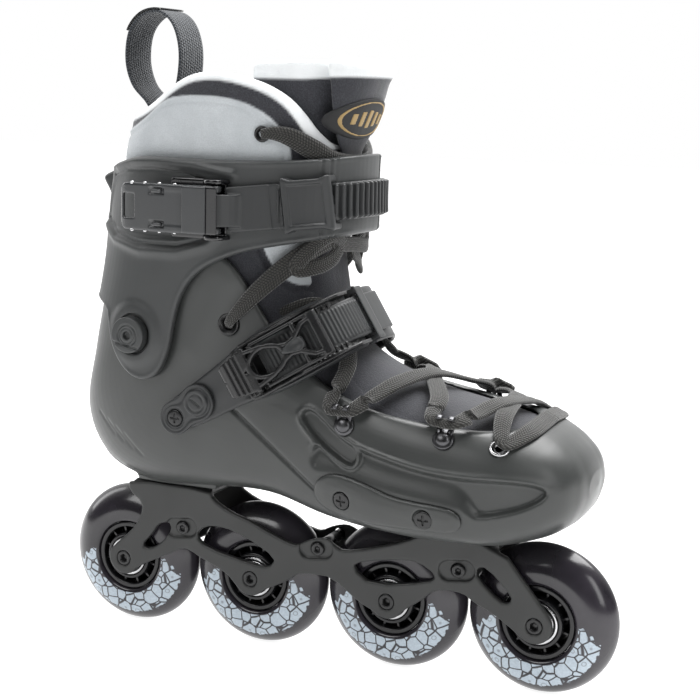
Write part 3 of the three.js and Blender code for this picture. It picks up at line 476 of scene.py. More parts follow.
def make_cuff():
    field = Field((-140, -56, 148), (26, 56, 280), 0.7)
    form = field.form(CUFF_FORM, 9)
    x, z = field.u, field.w
    side = step(np.abs(field.v), 12, 24)
    outer_side = step(-field.v, 12, 24)
    wall = form - CUFF_OUTER + side * cuff_relief(x, z) + outer_side * lever_relief(x, z)
    body = both(wall, outline(CUFF_SIDE, x, z), 2.2)
    fin = both(outline(CUFF_FIN, x, z), np.abs(field.v) - 15, 3)
    body = without(either(body, fin, 3), form - CUFF_INNER)
    front = step(x, -2, 4)
    for y in (-33, -29.5, -27):
        body = body + front * (0.7 * hump(field.v - y, 0.5))
    overlap = span(field.v, 13, 15)
    body = without(body, np.maximum(overlap, 0 - field.u), 0.8)
    body = without(body, np.maximum(pin(x, z, PIVOT, 6.3), HOLE_FROM - np.abs(field.v)), 0.5)
    return surface("cuff_wall", field, body)


def make_pivot(side):
    y = side * 50
    field = Field((PIVOT[0] - 11, min(y, y + side * 7) - 1, PIVOT[1] - 11),
                  (PIVOT[0] + 11, max(y, y + side * 7) + 1, PIVOT[1] + 11), 0.35)
    x, z = field.u, field.w
    away = pin(x, z, PIVOT, 0)
    out = side * field.v
    face = 55.4 + 0.5 * (1 - step(away, 3, 9))
    slit = line_distance([(PIVOT[0] - 9, PIVOT[1] - 4), (PIVOT[0] + 8, PIVOT[1] - 7.4)], x, z)
    face = face - 1.0 * hump(slit, 0.6) - 0.7 * hump(away - 5.4, 0.5)
    face = face - 2.2 * (1 - step(away, 1.9, 2.3)) - 0.5 * hump(away - 4.0, 0.35)
    body = both(both(out - face, away - 9.6, 0.9), 50 - out)
    return surface("pivot_bolt_" + TAG[side], field, body)


# ---- liner and tongue ----
LINER_TOP = [
    (-170, 288), (-128, 288.6), (-112, 291), (-100, 294), (-90, 299), (-78, 307), (-66, 312.6), (-52, 314),
    (-38, 312.5), (-22, 308), (-10, 301), (-3, 292), (1, 284), (6, 277), (6, 400), (-170, 400),
]
LINER_FRONT = [
    (7, 277), (1, 262), (-4, 240), (-4, 215), (1, 196), (11, 178), (25, 160), (47, 149), (76, 143),
    (102, 139), (116, 137), (170, 137), (170, 400), (6, 400),
]
PANEL = [
    (-160, 200), (-160, 280), (-122, 280.6), (-108, 283.5), (-96, 289), (-84, 297.5), (-74, 300.8),
    (-50, 301.4), (-34, 298.6), (-21, 292.5), (-14, 285), (-10, 276), (-11, 262), (-60, 258), (-100, 240),
]
LOWER_PANEL = [
    (-26, 238), (-24.5, 226), (-19, 214), (-12, 207.5), (-4, 205.5), (10, 206), (10, 246), (-24, 246),
]


def make_liner():
    field = Field((-150, -54, 84), (142, 56, 318), 0.95)
    form = field.form(BOOT_FORM, 15)
    x, z = field.u, field.w
    top = outline(LINER_TOP, x, z, 3)
    front = outline(LINER_FRONT, x, z, 3)
    side = step(np.abs(field.v), 8, 20)
    panel = outline(PANEL, x, z)
    lower = outline(LOWER_PANEL, x, z)
    lift = 0.9 * step(-panel, -0.4, 1.2) + 1.1 * step(-panel, 3, 20) * step(z, 262, 274)
    lift += 0.8 * step(-lower, -0.3, 1.2) - 0.8 * hump(lower - 2.4, 0.8) + 0.7 * hump(lower - 4.2, 1.1)
    lift -= 0.8 * hump(panel + 3.2, 0.8)
    eyelet = pin(x, z, COLLAR_EYELET, 0)
    lift -= 1.4 * hump(eyelet, 5)
    lift -= np.maximum(shell_relief(x, z) - 1.2, 0) * (1 - step(z, 215, 225))
    body = both(form + 3.9 - side * lift, -form - 11.6, 1.5)
    body = without(body, top, 6)
    body = without(body, front, 5)
    return surface("liner_body", field, body, 3)


FINE_ALONG, FINE_DEGREES = np.meshgrid(
    np.linspace(0, len(RIBS) - 1, 400), np.linspace(2, 178, 180), indexing="ij"
)


def tongue_height(field, form):
    """The height above the tongue's outer face, which is crowned towards its top."""
    return form + 4.3 - 1.4 * hump(field.v, 24) * step(field.w, 255, 300)


def make_tongue():
    field = Field((-60, -50, 100), (132, 54, 332), 0.95)
    form = field.form(BOOT_FORM, 22)
    x, z = field.u, field.w
    under = 6 * (1 - step(z, 258, 272))
    ahead = outline(LINER_FRONT, x + under - 1.5, z + under - 1.4, 3)
    collar = outline([(-34, 262), (80, 262), (80, 420), (-34, 420)], x, z, 0)
    roll = 2.6 * step(field.w, 306, 316) * hump(field.w - 317, 9)
    outer = tongue_height(field, form) - roll
    face = both(outer, -form - 12.6, 2)
    face = both(face, ahead, 3)
    lining = both(both(form + 12.4, -form - 17.5, 2), collar, 3)
    body = either(face, lining, 2)
    top = field.w - 320 - 0.05 * field.u - 2.5 * hump(np.abs(field.v) - 30, 10)
    body = both(body, top, 7)
    return surface("tongue_body", field, body, 3)


# ---- ribbons, tubes and turned pieces ----
def swept(name, points, normal, width, thick, power=3.0, count=14, crease=0.0):
    """A flat cord with round edges along points, with its face along normal. Its UV is in millimetres."""
    points, normal = np.asarray(points, float), np.asarray(normal, float)
    ahead = np.gradient(points, axis=0)
    ahead /= np.linalg.norm(ahead, axis=1, keepdims=True)
    normal = normal - (normal * ahead).sum(1, keepdims=True) * ahead
    normal /= np.linalg.norm(normal, axis=1, keepdims=True)
    across = np.cross(ahead, normal)
    a = 2 * np.pi * np.arange(count) / count
    ring = np.stack([np.sign(np.cos(a)) * np.abs(np.cos(a)) ** (2 / power) / 2,
                     np.sign(np.sin(a)) * np.abs(np.sin(a)) ** (2 / power) / 2], 1)
    width = np.broadcast_to(np.asarray(width, float), len(points))
    thick = np.broadcast_to(np.asarray(thick, float), len(points))
    rings = (points[:, None] + ring[None, :, :1] * (width[:, None] * across)[:, None]
             + ring[None, :, 1:] * (thick[:, None] * normal)[:, None])
    if crease:
        fold = crease * hump(ring[:, 0], 0.12) * np.sign(ring[:, 1])
        rings = rings - fold[None, :, None] * normal[:, None]
    n = len(points)
    ids = np.arange(n * count).reshape(n, count)
    turned = np.roll(ids, -1, axis=1)
    quads = np.stack([ids[:-1], turned[:-1], turned[1:], ids[1:]], -1).reshape(-1, 4)
    length = np.concatenate([[0], np.cumsum(np.linalg.norm(np.diff(points, axis=0), axis=1))])
    u = np.broadcast_to(ring[None, :, 0] * 10, (n, count))
    v = np.broadcast_to(length[:, None], (n, count))
    uv = np.stack([u, v], -1).reshape(-1, 2)
    ends = [ids[0].tolist(), ids[-1][::-1].tolist()]
    return mesh_object(name, rings.reshape(-1, 3), quads[:, ::-1].tolist() + ends, uv)


def resampled(points, values, gap=1.2):
    """A smooth course through points, with values carried along, in steps of about a gap."""
    points = np.asarray(points, float)
    many = np.linspace(0, len(points) - 1, (len(points) - 1) * 24 + 1)
    fine, other = between(points, many), between(np.asarray(values, float), many)
    length = np.concatenate([[0], np.cumsum(np.linalg.norm(np.diff(fine, axis=0), axis=1))])
    want = np.linspace(0, length[-1], max(int(length[-1] / gap), 4))
    pick = [np.interp(want, length, fine[:, k]) for k in range(3)]
    carry = [np.interp(want, length, other[:, k]) for k in range(other.shape[1])]
    return np.stack(pick, 1), np.stack(carry, 1)


def turned(name, profile, centre, axis="y", segments=64):
    """A turned piece. The profile is (radius, along), closed if its first point is repeated."""
    profile = np.asarray(profile, float)
    a = 2 * np.pi * np.arange(segments) / segments
    r, t = profile[:, 0][:, None], profile[:, 1][:, None] + 0 * a
    c, s = r * np.cos(a), r * np.sin(a)
    rings = np.stack([c, t, s] if axis == "y" else [c, s, t], -1)
    n = len(profile)
    ids = np.arange(n * segments).reshape(n, segments)
    nxt = np.roll(ids, -1, axis=1)
    quads = np.stack([ids[:-1], ids[1:], nxt[1:], nxt[:-1]], -1).reshape(-1, 4)
    if axis != "y":
        quads = quads[:, ::-1]
    made = mesh_object(name, rings.reshape(-1, 3), quads)
    made.location = Vector(centre) * MM
    weld(made)
    return made


def weld(made):
    """Merges points that lie together, and turns the faces outwards."""
    shape = bmesh.new()
    shape.from_mesh(made.data)
    bmesh.ops.remove_doubles(shape, verts=shape.verts, dist=1e-6)
    bmesh.ops.dissolve_degenerate(shape, edges=shape.edges, dist=1e-7)
    bmesh.ops.recalc_face_normals(shape, faces=shape.faces)
    shape.to_mesh(made.data)
    shape.free()


def add_bevel(made, width):
    """Rounds a piece's sharp edges."""
    bevel = made.modifiers.new("edges", "BEVEL")
    bevel.width = width * MM
    bevel.segments = 2
    bevel.limit_method = "ANGLE"
    bevel.angle_limit = math.radians(35)


def joined(name, pieces):
    """One object from several, in the place of the first."""
    bpy.context.view_layer.update()
    for piece in pieces:
        piece.select_set(False)
    with bpy.context.temp_override(
        active_object=pieces[0], object=pieces[0], selected_objects=pieces, selected_editable_objects=pieces
    ):
        bpy.ops.object.join()
    pieces[0].name = name
    return pieces[0]


# ---- wheels ----
AXLE_X = (-121.5, -40.5, 40.5, 121.5)
AXLE_Z = 40.0


TYRE_R, TYRE_HALF = 40.0, 12
CROWN, CROWN_POWER = 14.4, 1.65  # the height and squareness of the tyre's rounded crown


def tyre_profile():
    """Radius and y round the tyre's section, closed on itself."""
    foot = [(19.9, 9), (19.9, 10.6), (20.6, 11.6), (22.0, TYRE_HALF)]
    points = [(r, -y) for r, y in foot]
    for i in range(-22, 23):
        y = TYRE_HALF * math.sin(i / 22 * math.pi / 2)
        share = (1 - min(1, abs(y) / TYRE_HALF) ** CROWN_POWER) ** (1 / CROWN_POWER)
        points.append((TYRE_R - CROWN + CROWN * share, y))
    return points + foot[::-1] + points[:1]


def make_wheel(n, x):
    place = (x, 0, AXLE_Z)
    tyre = turned(f"tyre_skin_{n}", tyre_profile(), place, segments=128)
    rim = [(16.6, -8), (16.6, -10.2), (17.2, -10.8), (19.0, -10.8), (19.6, -10.2), (19.6, 10.2), (19.0, 10.8),
           (17.2, 10.8), (16.6, 10.2), (16.6, -8)]
    core = [(11.3, -11), (11.3, -12), (12.2, -12.2), (13.2, -11.8), (13.6, -10), (13.6, 10), (13.2, 11.8),
            (12.2, 12.2), (11.3, 12), (11.3, 6), (9.6, 5.6), (9.6, -5.6), (11.3, -6), (11.3, -11)]
    disc = [(13.4, -1.6), (16.8, -1.6), (16.8, 1.6), (13.4, 1.6), (13.4, -1.6)]
    parts = [turned("rim", rim, place, segments=96), turned("core", core, place, segments=72),
             turned("web", disc, place, segments=72)]
    for k in range(12):
        a = 2 * math.pi * (k + 0.5) / 12
        spoke = mesh_object("spoke", [
            (r * math.cos(a) - s * math.sin(a), y, r * math.sin(a) + s * math.cos(a))
            for r in (13.2, 17.2) for s in (-0.7, 0.7) for y in (-8.6, 8.6)
        ], [(0, 1, 3, 2), (4, 6, 7, 5), (0, 4, 5, 1), (2, 3, 7, 6), (0, 2, 6, 4), (1, 5, 7, 3)])
        spoke.location = Vector(place) * MM
        parts.append(spoke)
    hub = joined(f"hub_core_{n}", parts)
    weld(hub)
    add_bevel(hub, 0.25)
    bearings = []
    for side, word in ((-1, "outer"), (1, "inner")):
        ring = [(8.9, 0), (8.9, 6.2), (9.2, 6.7), (10.7, 6.7), (11, 6.4), (11, 0), (8.9, 0)]
        shield = [(6.2, 3), (6.2, 6.0), (6.6, 6.15), (8.3, 6.15), (8.9, 5.7), (8.9, 3), (6.2, 3)]
        inner = [(4.3, 0), (4.3, 6.4), (4.6, 6.7), (6.0, 6.7), (6.3, 6.4), (6.3, 0), (4.3, 0)]
        pieces = [
            turned("part", [(r, side * (5.6 + t)) for r, t in profile], place, segments=64)
            for profile in (ring, shield, inner)
        ]
        bearings.append(joined(f"bearing_{word}_{n}", pieces))
    return tyre, hub, bearings


def socket_head(centre, radius, depth, side, socket, rim, taper):
    """A round bolt head on a side wall with a hexagon socket in it. centre is on its face."""
    x, y, z = centre
    segments = 48
    a = 2 * np.pi * np.arange(segments) / segments
    corner = np.cos(np.pi / 6) / np.cos((a + np.pi / 6) % (np.pi / 3) - np.pi / 6)
    rings = []
    for r, out, shape in (
        (radius, -depth, 1),
        (radius, -rim, 1),
        (radius - rim * 0.3, -rim * 0.3, 1),
        (radius - rim, 0, 1),
        (socket + 0.35, 0, corner),
        (socket, -0.3, corner),
        (socket, -taper, corner),
        (0.001, -taper - 0.3, 1),
    ):
        reach = r * shape * np.ones(segments)
        wall = np.full(segments, y + side * out)
        rings.append(np.stack([x + reach * np.cos(a), wall, z + reach * np.sin(a)], -1))
    rings = np.array(rings)
    n = len(rings)
    ids = np.arange(n * segments).reshape(n, segments)
    nxt = np.roll(ids, -1, axis=1)
    quads = np.stack([ids[:-1], ids[1:], nxt[1:], nxt[:-1]], -1).reshape(-1, 4)
    made = mesh_object("head", rings.reshape(-1, 3), quads.tolist() + [ids[0].tolist()])
    weld(made)
    return made


def make_cross_bolt(name, x, head_x, z, face, head, socket, shank):
    """A bolt across the frame, with a socket head on each side."""
    parts = [socket_head((head_x, side * face, z), *head, side, *socket) for side in (-1, 1)]
    radius, half = shank
    profile = [(0.01, -half), (radius, -half), (radius, half), (0.01, half)]
    parts.append(turned("shank", profile, (x, 0, z), segments=32))
    return joined(name, parts)


# ---- frame ----
FRAME_SIDE = [
    (-118, 87), (-66, 87), (-64, 82), (-54, 76.5), (-40, 72.5), (-28, 67.5), (-16, 63.6), (-12, 63.6),
    (-7, 66.5), (0, 69), (6, 69), (10, 66), (15, 64), (31, 68), (51, 75), (60, 80), (101, 80), (122, 54.5),
    (128.4, 46.9), (131.2, 41), (130, 35), (125.5, 31.1), (120, 30.3), (115.9, 32), (109, 37), (100, 42.7),
    (88, 47.7), (83, 51.3), (72, 51.6), (65, 49), (61, 44.4), (49.6, 36.3), (46.5, 32.2), (41.5, 30.3),
    (36, 31.3), (33, 33.7), (24, 37.4), (9, 48.4), (-4, 48.4), (-12, 47.4), (-18, 42), (-32, 35.1),
    (-36, 31.3), (-41, 30.2), (-46, 31.8), (-48, 33.7), (-56, 41.6), (-71, 47), (-78, 50.5), (-83, 51.5),
    (-93, 46), (-112.4, 36.3), (-116, 31.8), (-121.5, 30.2), (-127, 31.9), (-131, 37), (-131.2, 42),
    (-129.5, 45.6), (-116.5, 57), (-110.5, 65.6), (-109, 74), (-118, 80),
]
WINDOWS = [
    [(-110, 49), (-103, 56.5), (-99, 63), (-93, 65), (-91, 61), (-95, 54), (-104, 48)],
    [(-75, 60), (-69, 66), (-58, 67), (-44, 63.5), (-25, 54), (-29, 48.5), (-38, 48.5), (-68, 54)],
    [(20, 56), (26, 60), (48, 64.2), (58, 64.2), (68, 58.5), (64, 54.5), (32, 48)],
    [(90, 66), (95, 67), (109, 54), (108, 50), (103, 50), (90, 61)],
]
BRACES = (-84, -1, 79)
BRACE_Z = 63.0
WALL_IN, WALL_OUT = 13.6, 17.1


def make_frame():
    field = Field((-134, -19, 28), (134, 19, 90), 0.62)
    x, z = field.u, field.w
    side = outline(FRAME_SIDE, x, z, 1)
    for window in WINDOWS:
        side = without(side, outline(window, x, z, 1), 0.5)
    holes = np.full(side.shape, 1e3)
    for cx in AXLE_X:
        holes = np.minimum(holes, pin(x, z, (cx, AXLE_Z), 4.4))
    pockets = np.full(side.shape, 1e3)
    for cx in BRACES:
        holes = np.minimum(holes, pin(x, z, (cx, BRACE_Z), 3.4))
        slot = [(cx - 4.5, BRACE_Z - 0.6), (cx + 4.5, BRACE_Z + 0.6)]
        pockets = np.minimum(pockets, line_distance(slot, x, z) - 5.4)
    out = np.abs(field.v)
    walls = both(side, span(out, WALL_IN, WALL_OUT), 1.3)
    walls = without(walls, np.maximum(pockets, 15.6 - out), 0.8)
    walls = without(walls, holes, 0.5)
    rear = round_box(field, (-115, -66.5), (-14.5, 14.5), (83, 87), 0.8)
    front = round_box(field, (60.5, 100.5), (-14.5, 14.5), (76, 80), 0.8)
    body = either(either(walls, rear, 2), front, 2)
    for cx in (-88, 77):
        hole = np.sqrt((field.u - cx) ** 2 + field.v**2) - 4.3
        body = without(body, hole, 0.5)
    return surface("frame_rail", field, body)


# ---- seats on the boot's form ----
def seat(x, z, side, height=0.0):
    """The point of the form's side at (x, z) in the side view, and its outward direction."""
    fine = form_point(RIBS, FINE_ALONG, side * FINE_DEGREES, height).reshape(-1, 3)
    k = ((fine[:, 0] - x) ** 2 + (fine[:, 2] - z) ** 2).argmin()
    normal = form_normal(RIBS, FINE_ALONG.ravel()[k], side * FINE_DEGREES.ravel()[k])
    return fine[k], normal * np.sign(normal[1] * side)


def facing(made, point, normal):
    """Sets a piece made about Z on a point, facing along normal."""
    made.rotation_mode = "QUATERNION"
    made.rotation_quaternion = Vector(normal).to_track_quat("Z", "Y")
    made.location = Vector(point) * MM
    return made


def make_screw(name, point, normal, radius, dome):
    """A cross-head screw, facing along normal."""
    field = Field((-radius - 1, -radius - 1, -2), (radius + 1, radius + 1, dome + 1), radius / 16)
    away = np.sqrt(field.u**2 + field.v**2)
    crown = field.w - dome * np.sqrt(np.maximum(1 - (away / (radius * 1.25)) ** 2, 0.05))
    body = both(both(crown, away - radius, radius * 0.12), -1.5 - field.w)
    arm, half = radius * 0.62, radius * 0.1 + 0.05
    u, v = np.abs(field.u), np.abs(field.v)
    bars = [np.maximum(a - half, b - arm) for a, b in ((u, v), (v, u))]
    body = without(body, np.maximum(np.minimum(*bars), 0.1 - field.w), 0.15)
    return facing(surface(name, field, body, 1), point, normal)


# ---- instep strap: u up along it, v towards the boot, w across ----
INSTEP = Matrix.Translation((-62, 0, 139)) @ Matrix.Rotation(math.radians(-32), 4, "Y")
BUCKLE = INSTEP @ Matrix.Translation((67, -46, 0)) @ Matrix.Rotation(math.radians(14), 4, "Z")
ARM_SIDE = [
    (-6, -9), (2, -11), (22, -12), (34, -13), (46, -15.6), (60, -17), (84, -17), (94, -15.4), (125, -15),
    (125, 15), (94, 15.4), (84, 17), (60, 17), (46, 15.6), (34, 13.4), (16, 11), (0, 9.5), (-8, 8.5),
    (-16, 4), (-17, -3), (-13, -8),
]


def strap_height(field):
    """The height above the strap's inner face, which runs round the instep."""
    course = [(-90, -45)]
    for i in range(81):
        a = (i / 80 * 2 - 1) * math.pi / 2
        course.append((30 + 64 * math.cos(a) ** (2 / 3) if math.cos(a) > 1e-9 else 30,
                       45 * math.copysign(abs(math.sin(a)) ** (2 / 3), a)))
    course.append((-90, 45))
    return outline(course, field.u, field.v, 0)


def make_arm(side):
    v = (-62, -12) if side < 0 else (-16, 62)
    field = Field((-20, v[0], -20), (100, v[1], 20), 0.6, INSTEP)
    height = strap_height(field)
    edge = outline(ARM_SIDE, field.u, field.w, 2)
    top = 2.4 + 0.5 * hump(field.w + 3 - field.u * 0.05, 5) * step(-field.u, -44, -4)
    if side < 0:
        lip = step(field.u, 30, 44) * (1 - step(field.u, 92, 99))
        top = top + lip * 2.0 * hump(edge + 1.3, 1.2)
    body = both(both(height - top, -height), edge, 1.6)
    if side < 0:
        body = both(body, field.v + 16, 1)
    else:
        body = both(body, -14 - field.v, 1)
        loop = both(both(height - 10, 2 - height, 1), round_box(field, (60, 130), (-14, -6), (-15, 15), 1))
        gate = both(both(height - 7, 3.3 - height, 0.6), np.abs(field.w) - 11.8, 0.6)
        gate = np.maximum(gate, 55 - field.u)
        body = without(either(body, loop, 0.8), gate, 0.5)
    for x, z in ANCHORS:
        p = INSTEP.inverted() @ Vector((x, 0, z))
        hole = np.maximum(pin(field.u, field.w, (p.x, p.z), 2.3), 20 - np.abs(field.v))
        body = without(body, hole, 0.3)
    return surface("strap_arm_" + TAG[side], field, body)


def make_instep_ladder():
    field = Field((50, -52, -12), (102, 16, 12), 0.45, INSTEP)
    height = strap_height(field)
    around = np.arctan2(field.v, (field.u - 40) * 0.9)
    along = around * 48
    ridges = 0.45 * (0.5 + 0.5 * np.cos(along * 2 * math.pi / 1.9)) * step(9 - np.abs(field.w), 0, 0.8)
    body = both(height - 6.0 - ridges * (1 - step(field.v, -12, -9)), 4.2 - height, 0.4)
    body = both(body, np.abs(field.w) - 10.8, 0.8)
    body = both(body, np.maximum(53 - field.u, field.v - 13.5), 0.8)
    return surface("strap_ladder", field, body)


def make_buckle_tray():
    field = Field((34, -62, -18), (98, -18, 18), 0.5, INSTEP)
    height = strap_height(field)
    u, w = field.u, np.abs(field.w)
    tray = both(both(height - 3.8, 2.7 - height, 0.4), both(np.abs(u - 65.5) - 29, w - 14.6, 4), 0.8)
    tall = 7.5 + 3.5 * step(u, 62, 74) + 0.8 * hump(u - 58, 4)
    cheeks = both(both(height - tall, 3 - height), both(span(w, 12.9, 14.9), 45 - u, 1), 1.0)
    notch = both(height - 30, 8.5 - height)
    cheeks = without(cheeks, np.maximum(notch, np.abs(u - 69) - 2.2), 0.5)
    heel = both(both(height - 6.4 - 0.5 * np.cos(u * 2 * math.pi / 2.6), 3 - height),
                both(span(u, 38, 47), w - 13, 3), 1.0)
    body = either(either(tray, cheeks, 0.6), heel, 0.6)
    deck = both(both(height - 5.6 - 0.6 * step(np.cos(u * 2 * math.pi / 2.2), -0.2, 0.2), 3 - height),
                both(span(u, 74, 93), span(w, 9, 13), 0.6), 0.5)
    body = either(body, deck, 0.3)
    body = both(body, field.v + 18.5)
    local = BUCKLE.inverted() @ INSTEP
    a, b, c, d = local[0][0], local[0][1], local[1][0], local[1][1]
    bu = a * field.u + b * field.v + local[0][3]
    bv = c * field.u + d * field.v + local[1][3]
    rod = np.maximum(pin(bu, bv, (21, -5.4), 1.5), w - 14)
    return surface("buckle_tray", field, either(body, rod, 0.3))


LEVER_SECTION = [
    (-37, -2.4), (-36, -4.8), (-33, -6.4), (-22, -8.2), (-8, -8.9), (8, -9.3), (19, -8.6), (23, -7.2),
    (23.6, -5), (22, -3.1), (18, -3.3), (8, -4.8), (-22, -4.4), (-35, -2.2),
]


def make_instep_lever():
    field = Field((-38, -12, -13.5), (25, 0, 13.5), 0.4, BUCKLE)
    u, v, w = field.u, field.v, np.abs(field.w)
    section = outline(LEVER_SECTION, u, v, 1)
    tip = outline([(-39, 0), (-38, 7), (-33, 9.6), (-21, 11.6), (-20, 12), (-20, -1)], u, w, 1)
    hoop = np.abs(np.sqrt(((u + 10.5) / 10.4) ** 2 + (w / 7.4) ** 2) - 1) * 7.4 - 1.1
    wave = [(-20, 9.4), (-10, 8.0), (-2, 4.2), (3, 2.8), (8, 3.9), (14, 8.4), (20, 9.4)]
    cross = line_distance(wave, u, w) - 1.15
    rail = np.maximum(np.abs(u - 3) - 19, np.abs(w - 11.4) - 1.0)
    ends = np.maximum(np.minimum(np.abs(u + 20.4) - 1.2, np.abs(u - 20.6) - 2.4), w - 12.2)
    tongue = line_distance([(-12, 0), (-4, 0)], u, w) - 1.6
    plan = np.minimum.reduce([tip, hoop, cross, ends, tongue])
    low = np.minimum(rail, plan)
    crown = v - (-9.6 + 0.0008 * (u - 2) ** 2)
    ribs = 0.55 * step(np.cos((u + 37) * 2 * math.pi / 3.0), -0.2, 0.5) * (1 - step(u, -23.5, -22.5))
    high = both(section + ribs, plan, 1.0)
    under = both(both(section, low, 0.6), -6.4 - v)
    body = either(high, under, 0.6)
    body = without(body, pin(u, v, (21, -5.4), 1.8))
    rod = np.maximum(pin(u, v, (9, -6.4), 1.2), w - 11)
    body = either(body, rod, 0.2)
    return surface("strap_lever", field, both(body, -crown - 3.2), 1)


TRIGGER_SECTION = [
    (-2, -9.6), (4, -10.6), (9, -9.6), (11.8, -7.2), (11.6, -5.4), (9, -4.3), (4, -6.6), (-1, -7.8),
]


def make_trigger():
    field = Field((-3, -12, -6), (13, -3, 6), 0.3, BUCKLE)
    u, v, w = field.u, field.v, field.w
    section = outline(TRIGGER_SECTION, u, v)
    plan = outline([(-2, -1.2), (12, -4.8), (12, 4.8), (-2, 1.2)], u, w, 2)
    dish = 1.2 * hump(u - 7, 3.2) * hump(w, 2.8)
    body = both(both(section + dish, plan, 1.0), -(v + 12))
    return surface("strap_trigger", field, without(body, pin(u, v, (9, -6.4), 1.45), 0.2), 1)


def make_anchor_cover(side):
    low = 45 + 2.4 + 0.4
    field = Field((-82, side * 54 if side < 0 else 44, 120), (-42, -44 if side < 0 else 54, 158), 0.4)
    x, z = field.u, field.w
    (ax, az), (bx, bz) = ANCHORS
    first, second = pin(x, z, (ax, az), 9.0), pin(x, z, (bx, bz), 9.8)
    plan = either(first, second, 9)
    top = 2.3 - 0.5 * hump(plan + 2.0, 0.55) - 0.6 * hump(np.abs(first + 9.0 - 5.4), 0.5)
    top = top + 1.2 * step(-(second + 9.8 - 7.2), 0, 0.7) - 0.5 * hump(second + 9.8 - 4.6, 0.5)
    top = top - 0.7 * hump(line_distance([(bx - 2.6, bz + 1.6), (bx + 2.6, bz - 1.6)], x, z), 0.5)
    top = top - 1.2 * step(5.0 - (first + 9.0), 0, 0.5)
    out = side * field.v - low
    body = both(both(out - top, plan, 0.8), -out)
    hole = pin(x, z, (ax, az), 2.2)
    return surface("anchor_cover_" + TAG[side], field, without(body, hole))


# ---- cuff strap and its buckle ----
STRAP = Matrix.Translation((-10, 0, 247.5)) @ Matrix.Rotation(math.radians(-6), 4, "Y")


def strap_coordinates(field):
    """u forward and w up along the cuff's strap, from row coordinates."""
    inverse = STRAP.inverted()
    x, z = field.u, field.w
    return tuple(row[0] * x + row[2] * z + row[3] for row in (inverse[0], inverse[2]))


STRAP_RIB = 5.2  # where the strap lies along the cuff's ribs
STRAP_HEIGHT = 6.0


def arc_length(field):
    """The distance round the cuff from the middle of its front, minus on the outer side."""
    row = between(CUFF_RIBS, np.array(STRAP_RIB))
    degrees = np.linspace(-178, 178, 713)
    ring = form_point(CUFF_RIBS, np.full(len(degrees), STRAP_RIB), degrees, STRAP_HEIGHT)
    length = np.concatenate([[0], np.cumsum(np.linalg.norm(np.diff(ring, axis=0), axis=1))])
    length -= np.interp(0, degrees, length)
    centre = (row[0] + row[2]) / 2
    angle = np.arctan2(ring[:, 1], ring[:, 0] - centre)
    return np.interp(np.arctan2(field.v, field.u - centre), angle, length)


TOOTH_GAP = 4.2


def make_cuff_ladder():
    field = Field((-56, -56, 228), (26, 62, 268), 0.55)
    height = field.form(CUFF_FORM, 13)
    u, w = strap_coordinates(field)
    along = arc_length(field)
    wave = (along / TOOTH_GAP) % 1
    tooth = 2.2 * step(wave, 0.0, 0.14) * (1 - step(wave, 0.5, 0.7))
    toothed = np.where(along > 34, 0, 1) * step(9.2 - np.abs(w), 0, 0.9)
    body = both(height - 7.4 - tooth * toothed, 5.1 - height, 0.4)
    body = both(body, np.abs(w) - 9.6, 1.0)
    body = both(body, np.where(field.v < 0, -2 - u, -46 - u), 1.0)
    end = STRAP @ Vector((-36, 0, 0))
    away = pin(field.u, field.w, (end.x, end.z), 0)
    out = field.v
    boss = both(away - 8, both(out - 56.2, 49 - out), 1.2)
    cap = both(away - 4.6, both(out - 58.6, 50 - out), 0.8)
    return surface("cuff_strap_ladder", field, either(either(body, boss, 1), cap, 0.4))


LOW_Z, HIGH_Z = 232.0, 257.0  # the cam buckle's edges
MIDDLE_Z = (LOW_Z + HIGH_Z) / 2
HINGE = (-42.0, -58.0)
KNUCKLE = (-49.0, -59.4)
EAR = [(-52, -44), (-50, -56), (-46, -60.4), (-41, -61), (-37.6, -58), (-36, -44)]


def make_buckle_base():
    field = Field((-72, -63, 227), (-34, -44, 262), 0.45)
    form = field.form(CUFF_FORM, 13)
    plate = round_box(field, (-70, -38), (-62, -40), (LOW_Z - 2.8, HIGH_Z + 2.8), 1.5)
    body = both(form - 7.0, plate, 0.8)
    for low, high in ((LOW_Z - 2.8, LOW_Z - 0.4), (HIGH_Z + 0.4, HIGH_Z + 2.8)):
        ear = both(outline(EAR, field.u, field.v), span(field.w, low, high), 0.8)
        body = either(body, ear, 0.4)
    body = without(body, form - 5.3)
    rod = np.maximum(pin(field.u, field.v, HINGE, 1.5), span(field.w, LOW_Z - 1, HIGH_Z + 1))
    return surface("buckle_base", field, either(body, rod, 0.2))


LEVER_PLAN = [
    (-97, -57.0), (-96, -58.6), (-91, -61.0), (-80, -62.6), (-66, -63.6), (-57, -63.6), (-56.4, -62),
    (-58, -60.6), (-66, -60.4), (-80, -59.6), (-90, -57.6), (-95, -56.6),
]
CHEEK_PLAN = [
    (-80, -62.4), (-66, -63.6), (-56, -63.4), (-44, -61.6), (-39, -60.4), (-38.6, -56), (-40, -55.2),
    (-46, -55.2), (-58, -58.6), (-70, -60),
]


# The ends of the lever's rivets: radius and height.
RIVET_PIN = [(0.01, 0.9), (0.7, 0.85), (1.05, 0.5), (1.1, -0.6), (0.01, -0.6)]


